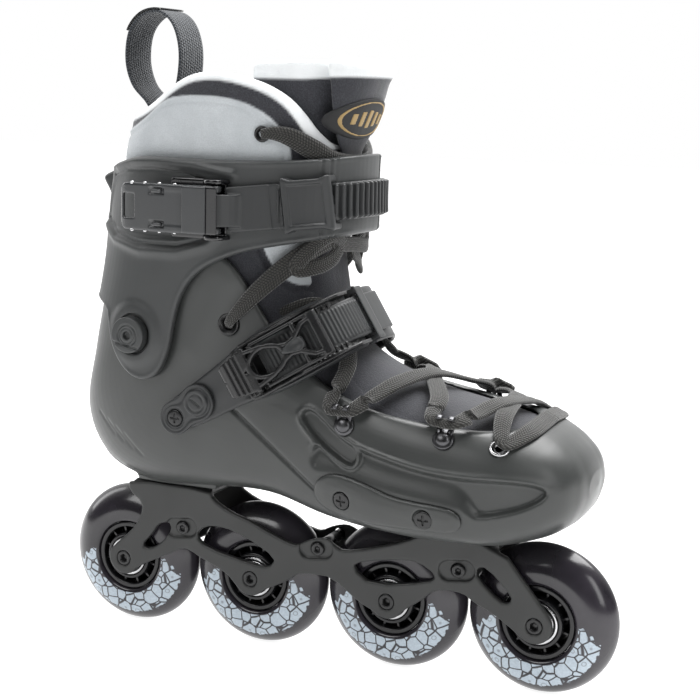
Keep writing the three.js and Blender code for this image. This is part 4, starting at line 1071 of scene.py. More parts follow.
def make_buckle_lever():
    field = Field((-99, -67, 230), (-36, -53, 259), 0.42)
    plane = field.u, field.v
    body = both(outline(LEVER_PLAN, *plane), np.abs(field.w - MIDDLE_Z) - 12.2, 1.2)
    ends = both(np.abs(field.w - MIDDLE_Z) - 12.2, -97 - field.u, 7)
    body = both(body, ends)
    for low, high in ((LOW_Z + 0.3, LOW_Z + 3.8), (HIGH_Z - 3.8, HIGH_Z - 0.3)):
        cheek = both(outline(CHEEK_PLAN, *plane), span(field.w, low, high), 0.7)
        body = either(body, cheek, 0.5)
    deck = round_box(field, (-57, -43.5), (-65.0, -63.1), (LOW_Z + 0.5, HIGH_Z - 0.5), 0.6)
    body = either(body, deck, 0.3)
    grip = round_box(field, (-94.5, -86.5), (-70, -50), (238.6, 251), 0.8)
    body = without(body, grip, 0.6)
    for middle in (236.2, 253.0):
        tab = round_box(field, (-77, -68), (-70, -62.2), (middle - 1.6, middle + 1.6), 0.3)
        body = without(body, tab, 0.3)
        knob = round_box(field, (-75, -69.5), (-64.2, -60), (middle - 0.9, middle + 0.9), 0.5)
        body = either(body, knob)
    body = without(body, np.maximum(pin(field.u, field.v, HINGE, 1.85), 0))
    rod = np.maximum(pin(field.u, field.v, KNUCKLE, 1.3), span(field.w, LOW_Z + 2, HIGH_Z - 2))
    lever = surface("buckle_lever", field, either(body, rod, 0.2))
    pins = []
    for x, y in ((-88, -60.6), (-80, -61.2), (-71, -61.9), (-62, -62.2)):
        for z, sign in ((HIGH_Z - 0.5, 1), (LOW_Z + 0.5, -1)):
            profile = [(r, sign * up) for r, up in RIVET_PIN]
            pins.append(turned("pin", profile, (x, y, z), "z", 20))
    # a thin glossy black sheet across the gap between the deck and the catch: painted shade, standing in for
    # the shadow inside the gap
    gap = round_box(field, (-43.8, -37.6), (-63.9, -62.9), (LOW_Z + 0.6, HIGH_Z - 0.6), 0.4)
    return lever, joined("buckle_rivets", pins), surface("buckle_gap_painted_shade", field, gap, 1)


NECK = [
    (-49, -62.6), (-42, -62.8), (-38, -62), (-32, -56), (-29, -55), (-29, -52.4), (-34, -53), (-39.5, -60.7),
    (-49, -60.7),
]


def make_catch():
    field = Field((-54, -66, 228), (32, -14, 264), 0.5)
    form = field.form(CUFF_FORM, 16)
    u, w = strap_coordinates(field)
    plane = field.u, field.v
    strip = both(form - 9.8, 8 - form, 0.5)
    strip = both(strip, both(np.abs(w) - 11.4, span(u, -27, 12), 0.8), 0.8)
    neck = both(outline(NECK, *plane, 1), np.abs(field.w - MIDDLE_Z) - 8.1, 0.6)
    eye = np.maximum(pin(field.u, field.v, KNUCKLE, 3), np.abs(field.w - MIDDLE_Z) - 8.1)
    link = either(either(strip, neck, 1.2), eye, 0.6)
    middle, half = 12.6, 10.4
    flare = 12.4 + 1.7 * step(np.abs(u - middle), half - 5, half)
    bars = both(form - 12.4, 5.3 - form, 1.2)
    block = both(bars, both(np.abs(w) - flare, np.abs(u - middle) - half, 1.5), 1.5)
    rim = np.maximum(step(np.abs(u - middle), half - 3.4, half - 2.6), step(np.abs(w), 9.6, 10.4))
    block = block + (0.7 - 0.9 * rim) * step(form, 10, 12)
    track = both(form - 9.7, np.abs(w) - 10.4, 0.4)
    step_down = both(span(u, -4.5, 0.6), 9.0 - form, 0.4)
    body = without(either(link, block, 0.6), np.maximum(track, 1 - u), 0.4)
    body = without(body, np.maximum(step_down, np.abs(w) - 20), 0.5)
    body = both(body, field.v + 18)
    body = without(body, pin(field.u, field.v, KNUCKLE, 1.6))
    return surface("strap_catch", field, body)


# ---- laces, hooks and eyelets ----
# Each hook's rivet, by side and number, in the side view.
HOOKS = {(-1, 1): (79.5, 137.3), (1, 1): (77, 140), (-1, 2): (26.5, 139.6), (1, 2): (33, 146)}
LACE = 9.4


def lace_course(side):
    """Half of the lace from the middle of the toe bar to the knot: points, normals, width and thickness."""
    keys = []

    def lay(along, degrees, height, width=LACE, thick=2.9):
        over = 2.4 * hump(np.array(degrees * 1.0), 26) * (side if 4.4 < along < 5.5 or along > 7.9 else -side)
        lift = max(float(over), 0) if along > 4 else 0
        keys.append((*on_form(along, side * degrees, height + lift), width, thick))

    def hook(number, at_side):
        frame = hook_frame(number, at_side)
        for ahead, rise, narrow in ((7.5, 9.4, 7.5), (3, 6.9, 5.4), (-3, 6.9, 5.4), (-7.5, 9.4, 7.5)):
            keys.append((*(frame @ Vector((ahead, rise, 4.8))), *frame.col[2][:3], narrow, 3.4))

    lay(3.5, 0, 1.6)
    lay(3.6, 30, 2.0)
    lay(3.95, 51, 2.6, 7, 2.6)
    lay(4.15, 43, 2.6, 8)
    lay(4.3, 22, 1.4)
    lay(4.5, -10, 1.0)
    lay(4.7, -30, 2.4)
    hook(1, -side)
    lay(5.45, -28, 2.4)
    lay(5.9, 0, 0.6)
    lay(6.2, 24, 1.0)
    lay(6.4, 42, 2.6, 8.5)
    hook(2, side)
    lay(7.3, 44, 2.2, 8.5)
    lay(7.5, 32, 0.8)
    lay(8, 14, -1)
    lay(8.8, -14, -1)
    lay(9.7, -33, -1.6)
    lay(10.2, -49, -4.4)
    lay(10.7, -63, -6.4, 7.5, 3.0)
    lay(11.1, -72, -6.4, 6.5, 3.2)
    lay(11.26, -76.5, -3.0, 5.0, 3.8)
    lay(11.33, -75.5, 1.6, 5.4, 3.8)
    lay(11.45, -69, 3.6, 8, 3.4)
    lay(11.6, -60, 3.8, LACE, 3.2)
    lay(11.8, -45, 2.6, 10.5)
    lay(11.95, -25, 2.0, 10.5)
    lay(12.0, -4, 3.2)
    return keys


def braided(name, keys, power, crease):
    """A flat braid along keys: points, normals, widths and thicknesses."""
    keys = np.array(keys)
    points, carried = resampled(keys[:, :3], keys[:, 3:])
    return swept(name, points, carried[:, :3], carried[:, 3], carried[:, 4], power, 16, crease)


def on_form(along, degrees, height):
    """A point over the boot's form and the outward direction there."""
    along = np.array(along)
    return (*form_point(RIBS, along, degrees, height), *form_normal(RIBS, along, degrees))


def make_lace():
    parts = [braided("braid", lace_course(side), 2.6, 0.25) for side in (-1, 1)]
    for degrees, along, height in ((-24, 11.5, 4.6), (6, 11.8, 5.4), (20, 11.2, 4.0)):
        bow = []
        for k in (*range(13), 0):
            a = 2 * math.pi * k / 13
            ahead = along + 0.55 * math.cos(a) + 0.12 * math.sin(2 * a)
            rise = height + 1.6 * math.sin(a + degrees)
            bow.append((*on_form(ahead, degrees + 17 * math.sin(a), rise), 8.2, 2.4))
        parts.append(braided("braid", bow, 2.6, 0.25))
    return joined("lace_braid", parts)


COLLAR_COURSE = [
    (17.0, -72, 5), (16.97, -66, 7), (16.8, -57, 9.5), (16.35, -42, 10.5), (15.8, -22, 9.5),
    (15.6, 0, 9), (15.8, 22, 9), (16.35, 42, 9), (16.8, 57, 8), (17.0, 70, 5),
]


def make_collar_lace():
    keys = [(*on_form(along, degrees, -1.0), width, 3.6) for along, degrees, width in COLLAR_COURSE]
    return braided("collar_braid", keys, 2.4, 0.35)


def hook_frame(number, side):
    """A hook's place: x forwards, y up along the boot's face and z out from it, about its rivet."""
    point, out = seat(*HOOKS[(side, number)], side, 0.3)
    out = Vector(out)
    up = out.cross(Vector((1, 0, 0))) * (1 if side > 0 else -1)
    up = up.normalized() * (1 if up.z > 0 else -1)
    frame = Matrix((up.cross(out), up, out)).transposed().to_4x4()
    frame.translation = point
    return frame


# One prong of a hook in the hook's place, and the turned plate and dome of its rivet.
PRONG = [
    (0.9, -1.5, 0.7), (2.2, 2.4, 1.0), (3.0, 5.4, 1.5), (3.2, 8.2, 2.6), (3.2, 9.6, 4.8), (3.1, 9.2, 7.2),
    (3.0, 7.2, 8.4),
]
RIVET_PLATE = [(0.01, -1), (5.0, -1), (5.4, -0.4), (5.4, 0.9), (5.0, 1.4), (0.01, 1.5)]
RIVET_DOME = [
    (0.01, 0), (4.0, 0), (4.1, 1.4),
    *((4.1 * math.cos(a), 1.4 + 2.6 * math.sin(a)) for a in np.radians([15, 30, 45, 60, 75])),
    (0.01, 4.0),
]


def make_hook(number, side):
    frame = hook_frame(number, side)
    place = np.array(frame)[:3]
    turn, centre = place[:, :3].T, place[:, 3]
    parts = []
    for sign in (-1, 1):
        points, _ = resampled([(sign * a, b, c) for a, b, c in PRONG], np.zeros((len(PRONG), 1)), 0.5)
        normal = np.cross(np.gradient(points, axis=0), np.array([1.0, 0, 0])) * -1
        parts.append(swept("prong", points @ turn + centre, normal @ turn, 3.0, 1.5, 3, 12))
    for profile in (RIVET_PLATE, RIVET_DOME):
        piece = turned("rivet", profile, (0, 0, 0), "z", 40)
        parts.append(facing(piece, frame.translation, frame.col[2][:3]))
    return joined(f"hook_{TAG[side]}_{number}", parts)


def make_eyelet(name, x, z, side, radius=3.0, squash=1.0, hole=1.9):
    rolled = np.radians([165, 130, 90, 50, 10, -25])
    profile = [(hole, -2.2), (hole, 0.2)]
    profile += [(radius + 0.75 * math.cos(a), 0.25 + 0.8 * math.sin(a)) for a in rolled]
    profile += [(radius, -0.6), (radius, -2.2), (hole, -2.2)]
    made = turned(name, profile, (0, 0, 0), "z", 48)
    point, normal = seat(x, z, side)
    facing(made, point, normal)
    made.scale = (squash, 1, 1)
    return made


LOOP_PATH = [
    (-103.6, 276), (-104, 287), (-109, 296.5), (-118, 306), (-122, 319), (-120, 334), (-112, 343),
    (-101, 344.5), (-93, 338), (-89, 325), (-90, 309), (-95, 294), (-100, 280),
]


def make_pull_loop():
    keys = np.array([(x, 0, z) for x, z in LOOP_PATH], float)
    points, _ = resampled(keys, np.zeros((len(keys), 1)), 1.5)
    ahead = np.gradient(points, axis=0)
    normal = np.cross(ahead, np.array([0.0, 1, 0]))
    loop = swept("pull_webbing", points, normal, 25, 1.9, 6, 20)
    pick = slice(int(len(points) * 0.40), int(len(points) * 0.56))
    proud = 1.5 * normal[pick] / np.linalg.norm(normal[pick], axis=1, keepdims=True)
    label = swept("pull_label", points[pick] + proud, normal[pick], 26, 1.0, 8, 20)
    return loop, label


# The badge's oval across the tongue: its middle's y and z, half its length and half its height.
BADGE_Y, BADGE_Z, BADGE_LONG, BADGE_TALL = -3, 291, 27, 10.5
BAR_GAP = 6.8


def make_badge():
    """A plate with a raised rim and five plain bars."""
    field = Field((-30, -50, 270), (30, 44, 304), 0.6)
    form = field.form(BOOT_FORM, 14)
    y, z = field.v - BADGE_Y, field.w - BADGE_Z
    height = tongue_height(field, form)
    edge = (np.sqrt((y / BADGE_LONG) ** 2 + (z / BADGE_TALL) ** 2) - 1) * BADGE_TALL
    front = -8 - field.u
    plate = both(both(both(height - 1.3, -1.5 - height, 0.3), edge, 0.8), front)
    raised = both(height - 1.75, 0.5 - height, 0.3)
    line = both(both(raised, np.abs(edge + 2.0) - 0.4, 0.3), front)
    bars = np.minimum.reduce([
        np.maximum(np.abs(y - BAR_GAP * k) - 1.9, np.abs(z) - 4.6 + 0.9 * abs(k)) for k in range(-2, 3)
    ])
    marks = both(both(raised, bars, 0.4), front)
    return surface("tongue_badge", field, plate), [
        surface("badge_rim", field, line, 1),
        surface("badge_bars", field, marks, 1, whole=True),
    ]


# ---- materials ----
class Nodes:
    """Builds one material's nodes."""

    def __init__(self, name, color, rough, metal=0.0, **sockets):
        self.material = bpy.data.materials.new(name)
        self.material.use_nodes = True
        self.tree = self.material.node_tree
        self.shader = self.tree.nodes["Principled BSDF"]
        self.shader.inputs["Base Color"].default_value = (*color, 1)
        self.shader.inputs["Roughness"].default_value = rough
        self.shader.inputs["Metallic"].default_value = metal
        for key, value in sockets.items():
            self.shader.inputs[key.replace("_", " ")].default_value = value
        self.normal = None

    def node(self, kind, links=(), **values):
        made = self.tree.nodes.new(kind)
        for key, value in values.items():
            setattr(made, key, value)
        for socket, source in links:
            if hasattr(source, "is_output"):
                self.tree.links.new(source, made.inputs[socket])
            else:
                made.inputs[socket].default_value = source
        return made

    def place(self):
        return self.node("ShaderNodeTexCoord").outputs["Object"]

    def course(self):
        return self.node("ShaderNodeUVMap", uv_map="course").outputs["UV"]

    def math(self, operation, *values):
        return self.node("ShaderNodeMath", list(enumerate(values)), operation=operation).outputs[0]

    def noise(self, scale, detail=2.0, where=None):
        links = [("Vector", where or self.place()), ("Scale", scale), ("Detail", detail)]
        return self.node("ShaderNodeTexNoise", links).outputs["Fac"]

    def ranged(self, value, low, high, to_low=0.0, to_high=1.0):
        ends = (("From Min", low), ("From Max", high), ("To Min", to_low), ("To Max", to_high))
        return self.node("ShaderNodeMapRange", [("Value", value), *ends]).outputs["Result"]

    def mix(self, share, a, b):
        made = self.node("ShaderNodeMix", data_type="RGBA")
        for socket, value in (("Factor", share), ("A", a), ("B", b)):
            target = [s for s in made.inputs if s.name == socket and s.enabled][0]
            if hasattr(value, "is_output"):
                self.tree.links.new(value, target)
            else:
                target.default_value = value if socket == "Factor" or len(value) == 4 else (*value, 1)
        return [s for s in made.outputs if s.enabled][0]

    def paint(self, value):
        self.tree.links.new(value, self.shader.inputs["Base Color"])

    def polish(self, value):
        self.tree.links.new(value, self.shader.inputs["Roughness"])

    def bump(self, height, distance, strength=1.0):
        links = [("Height", height), ("Distance", distance * MM), ("Strength", strength)]
        if self.normal is not None:
            links.append(("Normal", self.normal))
        self.normal = self.node("ShaderNodeBump", links).outputs["Normal"]
        self.tree.links.new(self.normal, self.shader.inputs["Normal"])

    def attribute(self, name):
        return self.node("ShaderNodeAttribute", attribute_name=name).outputs["Fac"]


def plastic(name, color, rough, grain=0.02, scale=2600.0, spread=0.05, **sockets):
    """Moulded plastic: a fine spark-eroded grain, slow changes of tone and gloss."""
    m = Nodes(name, color, rough, **sockets)
    slow = m.noise(28.0, 3.0)
    darker = tuple(c * (1 - spread * 2) for c in color)
    lighter = tuple(min(c * (1 + spread * 2), 1) for c in color)
    fine = m.noise(scale, 2.0)
    tone = m.math("ADD", m.math("MULTIPLY", slow, 0.75), m.math("MULTIPLY", fine, 0.25))
    m.paint(m.mix(m.ranged(tone, 0.3, 0.7), (*darker, 1), (*lighter, 1)))
    m.polish(m.ranged(m.noise(45.0, 4.0), 0.3, 0.7, rough - 0.05, rough + 0.06))
    m.bump(fine, grain)
    return m.material


def metal(name, color, rough, brushed=0.006):
    m = Nodes(name, color, rough, 1.0)
    m.polish(m.ranged(m.noise(300.0, 4.0), 0.3, 0.7, rough - 0.06, rough + 0.1))
    m.paint(m.mix(m.ranged(m.noise(90.0, 3.0), 0.35, 0.65), tuple(c * 0.85 for c in color), color))
    m.bump(m.noise(2500.0, 2.0), brushed)
    return m.material


def braid(name, dark, light, pitch=1.5):
    """A herringbone braid along a cord's course."""
    m = Nodes(name, dark, 0.9, Sheen_Weight=0.35, Sheen_Roughness=0.5)
    split = m.node("ShaderNodeSeparateXYZ", [("Vector", m.course())])
    u, v = split.outputs["X"], split.outputs["Y"]
    lean = m.math("ADD", v, m.math("MULTIPLY", m.math("ABSOLUTE", u), 0.55))
    rows = m.math("SINE", m.math("MULTIPLY", lean, 2 * math.pi / pitch))
    columns = m.math("SINE", m.math("MULTIPLY", u, 2 * math.pi / 1.25))
    weave = m.ranged(m.math("MULTIPLY", m.math("ADD", rows, 1.0), m.math("ADD", columns, 1.4)), 0.2, 3.6)
    frayed = m.noise(1800.0, 3.0)
    tone = m.math("MULTIPLY", weave, m.ranged(frayed, 0.3, 0.7, 0.55, 1.1))
    m.paint(m.mix(tone, dark, light))
    m.bump(weave, 0.32)
    m.bump(frayed, 0.08)
    return m.material


def webbing(name, dark, light):
    """Flat webbing: thick ribs across and finer rows along."""
    m = Nodes(name, dark, 0.85, Sheen_Weight=0.25)
    split = m.node("ShaderNodeSeparateXYZ", [("Vector", m.course())])
    u, v = split.outputs["X"], split.outputs["Y"]
    rib = m.math("FRACT", m.math("MULTIPLY", u, 1.1))
    row = m.math("FLOOR", m.math("MULTIPLY", u, 1.1))
    shifted = m.math("ADD", m.math("MULTIPLY", v, 0.62), m.math("MULTIPLY", row, 0.5))
    pick = m.math("ABSOLUTE", m.math("SINE", m.math("MULTIPLY", shifted, math.pi)))
    weave = m.math("MULTIPLY", m.math("SINE", m.math("MULTIPLY", rib, math.pi)), pick)
    m.paint(m.mix(m.ranged(weave, 0.15, 0.9), dark, light))
    m.bump(weave, 0.45)
    m.bump(m.noise(1500.0, 2.0), 0.06)
    return m.material


def knit(m, scale, depth):
    """A fine knit's bump over whatever colour the material has."""
    where = m.place()
    cells = m.node("ShaderNodeTexVoronoi", [("Vector", where), ("Scale", scale)]).outputs["Distance"]
    m.bump(cells, depth)
    m.bump(m.noise(420.0, 3.0, where), 0.12)
    return cells


def liner_material():
    """Pale panels over black stretch cloth, by where the zones lie on the mesh."""
    m = Nodes("liner_cloth", (0.02, 0.021, 0.025), 0.85, Sheen_Weight=0.3, Sheen_Roughness=0.45)
    mottle = m.noise(60.0, 4.0)
    cells = knit(m, 1500.0, 0.12)
    grey = m.mix(m.ranged(mottle, 0.3, 0.7), (0.46, 0.49, 0.51), (0.56, 0.59, 0.61))
    grey = m.mix(m.ranged(cells, 0.1, 0.7, 0.0, 0.35), grey, (0.36, 0.38, 0.40, 1))
    black = m.mix(m.ranged(cells, 0.1, 0.8), (0.012, 0.013, 0.017), (0.035, 0.036, 0.044))
    white = m.mix(m.ranged(mottle, 0.3, 0.7), (0.72, 0.74, 0.75), (0.82, 0.84, 0.85))
    color = m.mix(m.attribute("grey"), black, grey)
    m.paint(m.mix(m.attribute("white"), color, white))
    return m.material


def tyre_material():
    """Smoky urethane with a pale printed band of blocks round the lower half of each side."""
    m = Nodes("urethane", (0.014, 0.0135, 0.017), 0.2, Coat_Weight=0.25, Coat_Roughness=0.12)
    place = m.place()
    split = m.node("ShaderNodeSeparateXYZ", [("Vector", place)])
    x, z = split.outputs["X"], split.outputs["Z"]
    square = m.math("ADD", m.math("MULTIPLY", x, x), m.math("MULTIPLY", z, z))
    radius = m.math("MULTIPLY", m.math("SQRT", square), 1000.0)
    angle = m.math("MULTIPLY", m.math("ARCTAN2", x, m.math("MULTIPLY", z, -1.0)), 26.0)
    flat = m.node("ShaderNodeCombineXYZ", [("X", angle), ("Y", radius), ("Z", 0.0)]).outputs[0]
    blocky = [("Vector", flat), ("Scale", 0.17), ("Randomness", 0.8)]
    cells = m.node("ShaderNodeTexVoronoi", blocky, feature="DISTANCE_TO_EDGE").outputs["Distance"]
    near = m.node("ShaderNodeTexVoronoi", blocky).outputs["Distance"]
    ring = m.ranged(m.math("ABSOLUTE", m.math("SUBTRACT", near, 0.2)), 0.02, 0.05, 0.55, 1.0)
    blocks = m.math("MULTIPLY", m.ranged(cells, 0.035, 0.075), ring)
    towers = m.math("MULTIPLY", m.math("SINE", m.math("MULTIPLY", radius, 1.35)), 1.1)
    reach = m.math("SUBTRACT", 44.0, m.math("MULTIPLY", m.math("SUBTRACT", radius, 21.0), 0.75))
    room = m.math("SUBTRACT", m.math("ADD", reach, towers), m.math("ABSOLUTE", angle))
    side_limit = m.ranged(room, -0.2, 0.2)
    jagged = m.math("MULTIPLY", m.noise(0.6, 1.0, flat), 3.0)
    inner = m.ranged(radius, 21.6, 21.9)
    outer = m.ranged(m.math("ADD", radius, jagged), 35.6, 35.2)
    band = m.math("MULTIPLY", m.math("MULTIPLY", inner, outer), m.math("MULTIPLY", side_limit, blocks))
    speck = m.ranged(m.noise(900.0, 2.0, place), 0.3, 0.7)
    smoky = m.mix(m.ranged(m.noise(35.0, 3.0, place), 0.3, 0.7), (0.012, 0.011, 0.014), (0.032, 0.028, 0.036))
    pale = m.mix(speck, (0.42, 0.49, 0.56), (0.52, 0.60, 0.67))
    m.paint(m.mix(band, smoky, pale))
    m.polish(m.ranged(band, 0.0, 1.0, 0.2, 0.42))
    m.bump(m.noise(1200.0, 2.0, place), 0.01)
    return m.material


def label_material():
    """A woven label: black with a pale edge and plain yellow blocks."""
    m = Nodes("woven_label", (0.02, 0.02, 0.02), 0.8)
    split = m.node("ShaderNodeSeparateXYZ", [("Vector", m.course())])
    u, v = split.outputs["X"], split.outputs["Y"]
    across = m.math("ABSOLUTE", u)
    edge = m.math("MULTIPLY", m.ranged(across, 4.35, 4.4), m.ranged(across, 4.65, 4.6))
    middle = m.ranged(across, 2.6, 2.4)
    blocks = m.math("GREATER_THAN", m.math("FRACT", m.math("MULTIPLY", u, 0.9)), 0.4)
    rows = m.math("MULTIPLY", m.ranged(v, 5.6, 5.8), m.ranged(v, 12.2, 12.0))
    yellow = m.math("MULTIPLY", m.math("MULTIPLY", middle, blocks), rows)
    color = m.mix(edge, (0.015, 0.015, 0.016), (0.35, 0.36, 0.34))
    m.paint(m.mix(yellow, color, (0.72, 0.62, 0.03)))
    m.bump(m.noise(1800.0, 2.0), 0.05)
    return m.material


# ---- putting it together ----
def corners_of(made):
    """A mesh's points in millimetres."""
    co = np.zeros(len(made.data.vertices) * 3, np.float32)
    made.data.vertices.foreach_get("co", co)
    return co.reshape(-1, 3) / MM


def zone(made, name, values):
    """Keeps a number on each point for a material to read."""
    attribute = made.data.attributes.new(name, "FLOAT", "POINT")
    attribute.data.foreach_set("value", np.clip(values, 0, 1).astype(np.float32))


def dress(made, material, body, slot_name, *nodes):
    """Gives a piece its material, ties it to its body, and hides the CAD nodes it stands for."""
    made.data.materials.clear()
    made.data.materials.append(material)
    if body:
        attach(made, body)
    if nodes:
        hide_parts(*nodes)
    return made


SHELL = plastic("shell_charcoal", (0.041, 0.0435, 0.0425), 0.34, 0.012, 2400.0, 0.04, Specular_IOR_Level=0.5)
CUFF = plastic("cuff_charcoal", (0.040, 0.0425, 0.043), 0.42, 0.03, 2000.0, 0.05)
STRAP_PLASTIC = plastic("strap_charcoal", (0.024, 0.0255, 0.0265), 0.42, 0.03, 2200.0, 0.05)
DEEP = plastic("buckle_black", (0.011, 0.0112, 0.0118), 0.27, 0.02, 2200.0, 0.08)
GLOSS = plastic("buckle_gloss", (0.005, 0.005, 0.006), 0.1, 0.002, 1200.0, 0.1,
                Coat_Weight=0.6, Coat_Roughness=0.05)
PLATE = plastic("buckle_plate", (0.034, 0.036, 0.038), 0.24, 0.004, 1600.0, 0.06,
                Coat_Weight=0.4, Coat_Roughness=0.12)
HUB = plastic("hub_black", (0.007, 0.007, 0.008), 0.22, 0.004, 1500.0, 0.1)
ALLOY = plastic("frame_anodised", (0.036, 0.037, 0.0365), 0.4, 0.02, 3200.0, 0.04, Metallic=0.25)
GUNMETAL = metal("gunmetal", (0.10, 0.10, 0.105), 0.3)
BRIGHT = metal("bright_steel", (0.62, 0.62, 0.63), 0.2)
BRAID = braid("lace_weave", (0.006, 0.006, 0.0055), (0.052, 0.050, 0.043))
WEBBING = webbing("loop_webbing", (0.008, 0.010, 0.013), (0.045, 0.052, 0.062))
LINER = liner_material()
TYRE = tyre_material()
LABEL = label_material()
GOLD = plastic("badge_gold", (0.34, 0.23, 0.09), 0.55, 0.02)
BADGE = plastic("badge_black", (0.013, 0.013, 0.014), 0.7, 0.05, 900.0)
FOAM = plastic("footbed_cloth", (0.05, 0.055, 0.06), 0.9, 0.2, 700.0, 0.1)

dress(make_shell(), SHELL, "boot", "shell_plastic", "shell")
for side, word in ((-1, "lateral"), (1, "medial")):
    tag = TAG[side]
    dress(make_guard(side), SHELL, "boot", "strap_plastic", f"side_guard_{word}")
    for n, at in enumerate(GUARD_SCREWS, 1):
        point, normal = seat(*at, side, 2.2)
        nodes = [f"guard_screw_{n}"] if side < 0 else []
        screw = make_screw(f"guard_cross_screw_{tag}_{n}", point, normal, 4.6, 1.1)
        dress(screw, DEEP, "boot", "dark_steel", *nodes)
    toe = make_eyelet(f"eyelet_toe_{tag}", *TOE_EYELET, side, 3.6, 1.2)
    dress(toe, BRIGHT, "boot", "bright_steel", f"toe_eyelet_{word}")
    ankle = make_eyelet(f"eyelet_ankle_{tag}", *ANKLE_EYELET, side, 5.2, 1.0, 3.2)
    dress(ankle, DEEP, "boot", "dark_steel", f"ankle_eyelet_{word}")
    for n in (1, 2):
        dress(make_hook(n, side), GUNMETAL, "boot", "dark_steel", f"lace_hook_{word}_{n}")
    dress(make_pivot(side), CUFF, "boot", "strap_plastic", f"cuff_pivot_{word}")
    arm_node = "instep_arm" if side < 0 else "instep_arm_medial"
    dress(make_arm(side), STRAP_PLASTIC, "boot", "strap_plastic", arm_node)
    cover_nodes = ["instep_anchor_cover"] if side < 0 else []
    dress(make_anchor_cover(side), STRAP_PLASTIC, "boot", "strap_plastic", *cover_nodes)
    place = (ANCHORS[0][0], side * 49.2, ANCHORS[0][1])
    anchor = make_screw(f"anchor_screw_{tag}", place, (0, side, 0), 4.3, 1.0)
    dress(anchor, DEEP, "boot", "dark_steel", *(["instep_anchor_screw"] if side < 0 else []))

dress(make_cuff(), CUFF, "cuff", "cuff_plastic", "cuff")
dress(make_cuff_ladder(), STRAP_PLASTIC, "cuff", "strap_plastic", "cuff_ladder")
dress(make_buckle_base(), GLOSS, "cuff", "buckle_gloss", "cuff_buckle_base")
lever, rivets, gap = make_buckle_lever()
dress(lever, PLATE, "cuff_lever", "buckle_gloss", "cuff_buckle_lever")
# painted shade: the black sheet in the buckle's gap stands in for the shadow there
dress(gap, GLOSS, "cuff_lever", "buckle_gloss")
dress(rivets, BRIGHT, "cuff_lever", "bright_steel")
dress(make_catch(), STRAP_PLASTIC, "cuff_catch", "strap_plastic", "cuff_buckle_catch")
dress(make_instep_ladder(), STRAP_PLASTIC, "boot", "strap_plastic", "instep_ladder")
dress(make_buckle_tray(), DEEP, "boot", "strap_plastic", "instep_buckle_frame")
dress(make_instep_lever(), DEEP, "instep_lever", "strap_plastic", "instep_buckle_lever")
dress(make_trigger(), STRAP_PLASTIC, "instep_trigger", "strap_plastic", "instep_buckle_trigger")

# the padded liner, and what is sewn on it
liner = make_liner()
co = corners_of(liner)
px, pz = co[:, 0], co[:, 2]
panel, lower, top = outline(PANEL, px, pz), outline(LOWER_PANEL, px, pz), outline(LINER_TOP, px, pz, 3)
zone(liner, "grey", np.maximum(0.5 - panel / 0.7, 0.5 - lower / 0.7))
zone(liner, "white", np.where(pz > 270, 0.5 + (4.6 - top) / 1.2, 0))
dress(liner, LINER, None, "liner_fabric", "liner")
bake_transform(liner)
tongue = make_tongue()
co = corners_of(tongue)
zone(tongue, "grey", np.zeros(len(co)))
zone(tongue, "white", 0.5 + (co[:, 2] - 310.5 - 1.5 * step(co[:, 0], -10, 20)) / 1.4)
dress(tongue, LINER, None, "black_fabric", "tongue")
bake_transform(tongue)

lace = make_lace()
dress(lace, BRAID, None, "lace_cord", "lace")
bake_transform(lace)
dress(make_collar_lace(), BRAID, "cuff", "lace_cord", "collar_lace")
loop, label = make_pull_loop()
dress(loop, WEBBING, "cuff", "black_fabric", "pull_loop")
dress(label, LABEL, "cuff", "black_fabric")
badge, gold = make_badge()
dress(badge, BADGE, "cuff", "black_fabric")
for piece in gold:
    dress(piece, GOLD, "cuff", "black_fabric")
for side, tag in ((-1, "outer"), (1, "inner")):
    eyelet = make_eyelet(f"eyelet_collar_{tag}", *COLLAR_EYELET, side, 3.4)
    point, normal = seat(*COLLAR_EYELET, side, -3.2)
    facing(eyelet, point, normal)
    dress(eyelet, DEEP, "cuff", "dark_steel")

dress(make_frame(), ALLOY, "boot", "frame_aluminium", "frame")
for n, x in enumerate(AXLE_X, 1):
    tyre, hub, bearings = make_wheel(n, x)
    dress(tyre, TYRE, f"wheel_{n}", "tyre_urethane", f"tyre_{n}")
    dress(hub, HUB, f"wheel_{n}", "hub_plastic", f"hub_{n}")
    for bearing, word in zip(bearings, ("lateral", "medial")):
        dress(bearing, BRIGHT, f"wheel_{n}", "bright_steel", f"bearing_{word}_{n}")
    head, socket, shank = (4.2, 4.0), (2.3, 0.5, 2.4), (3.9, 15)
    bolt = make_cross_bolt(f"axle_bolt_{n}", x, x, AXLE_Z, 17.0, head, socket, shank)
    dress(bolt, DEEP, "boot", "dark_steel", f"axle_{n}")
for n, x in enumerate(BRACES, 1):
    head, socket, shank = (3.6, 1.6), (1.7, 0.6, 1.4), (3.0, 15.4)
    bolt = make_cross_bolt(f"brace_bolt_{n}", x, x + 1, BRACE_Z, 17.3, head, socket, shank)
    dress(bolt, DEEP, "boot", "dark_steel", f"cross_brace_{n}")
for name in ("frame_bolt_1", "frame_bolt_2"):
    dress(frame["nodes"][name], BRIGHT, None, "bright_steel")
dress(frame["nodes"]["footbed"], FOAM, None, "footbed_foam")

# ---- stage ----
floor_mesh = bpy.data.meshes.new("floor")
floor_mesh.from_pydata([(-6, -6, 0), (6, -6, 0), (6, 6, 0), (-6, 6, 0)], [], [(0, 1, 2, 3)])
floor = bpy.data.objects.new("floor", floor_mesh)
bpy.context.scene.collection.objects.link(floor)
paper = Nodes("floor_paper", (0.4, 0.4, 0.4), 0.95, Emission_Color=(1, 1, 1, 1), Emission_Strength=0.9)
floor.data.materials.append(paper.material)


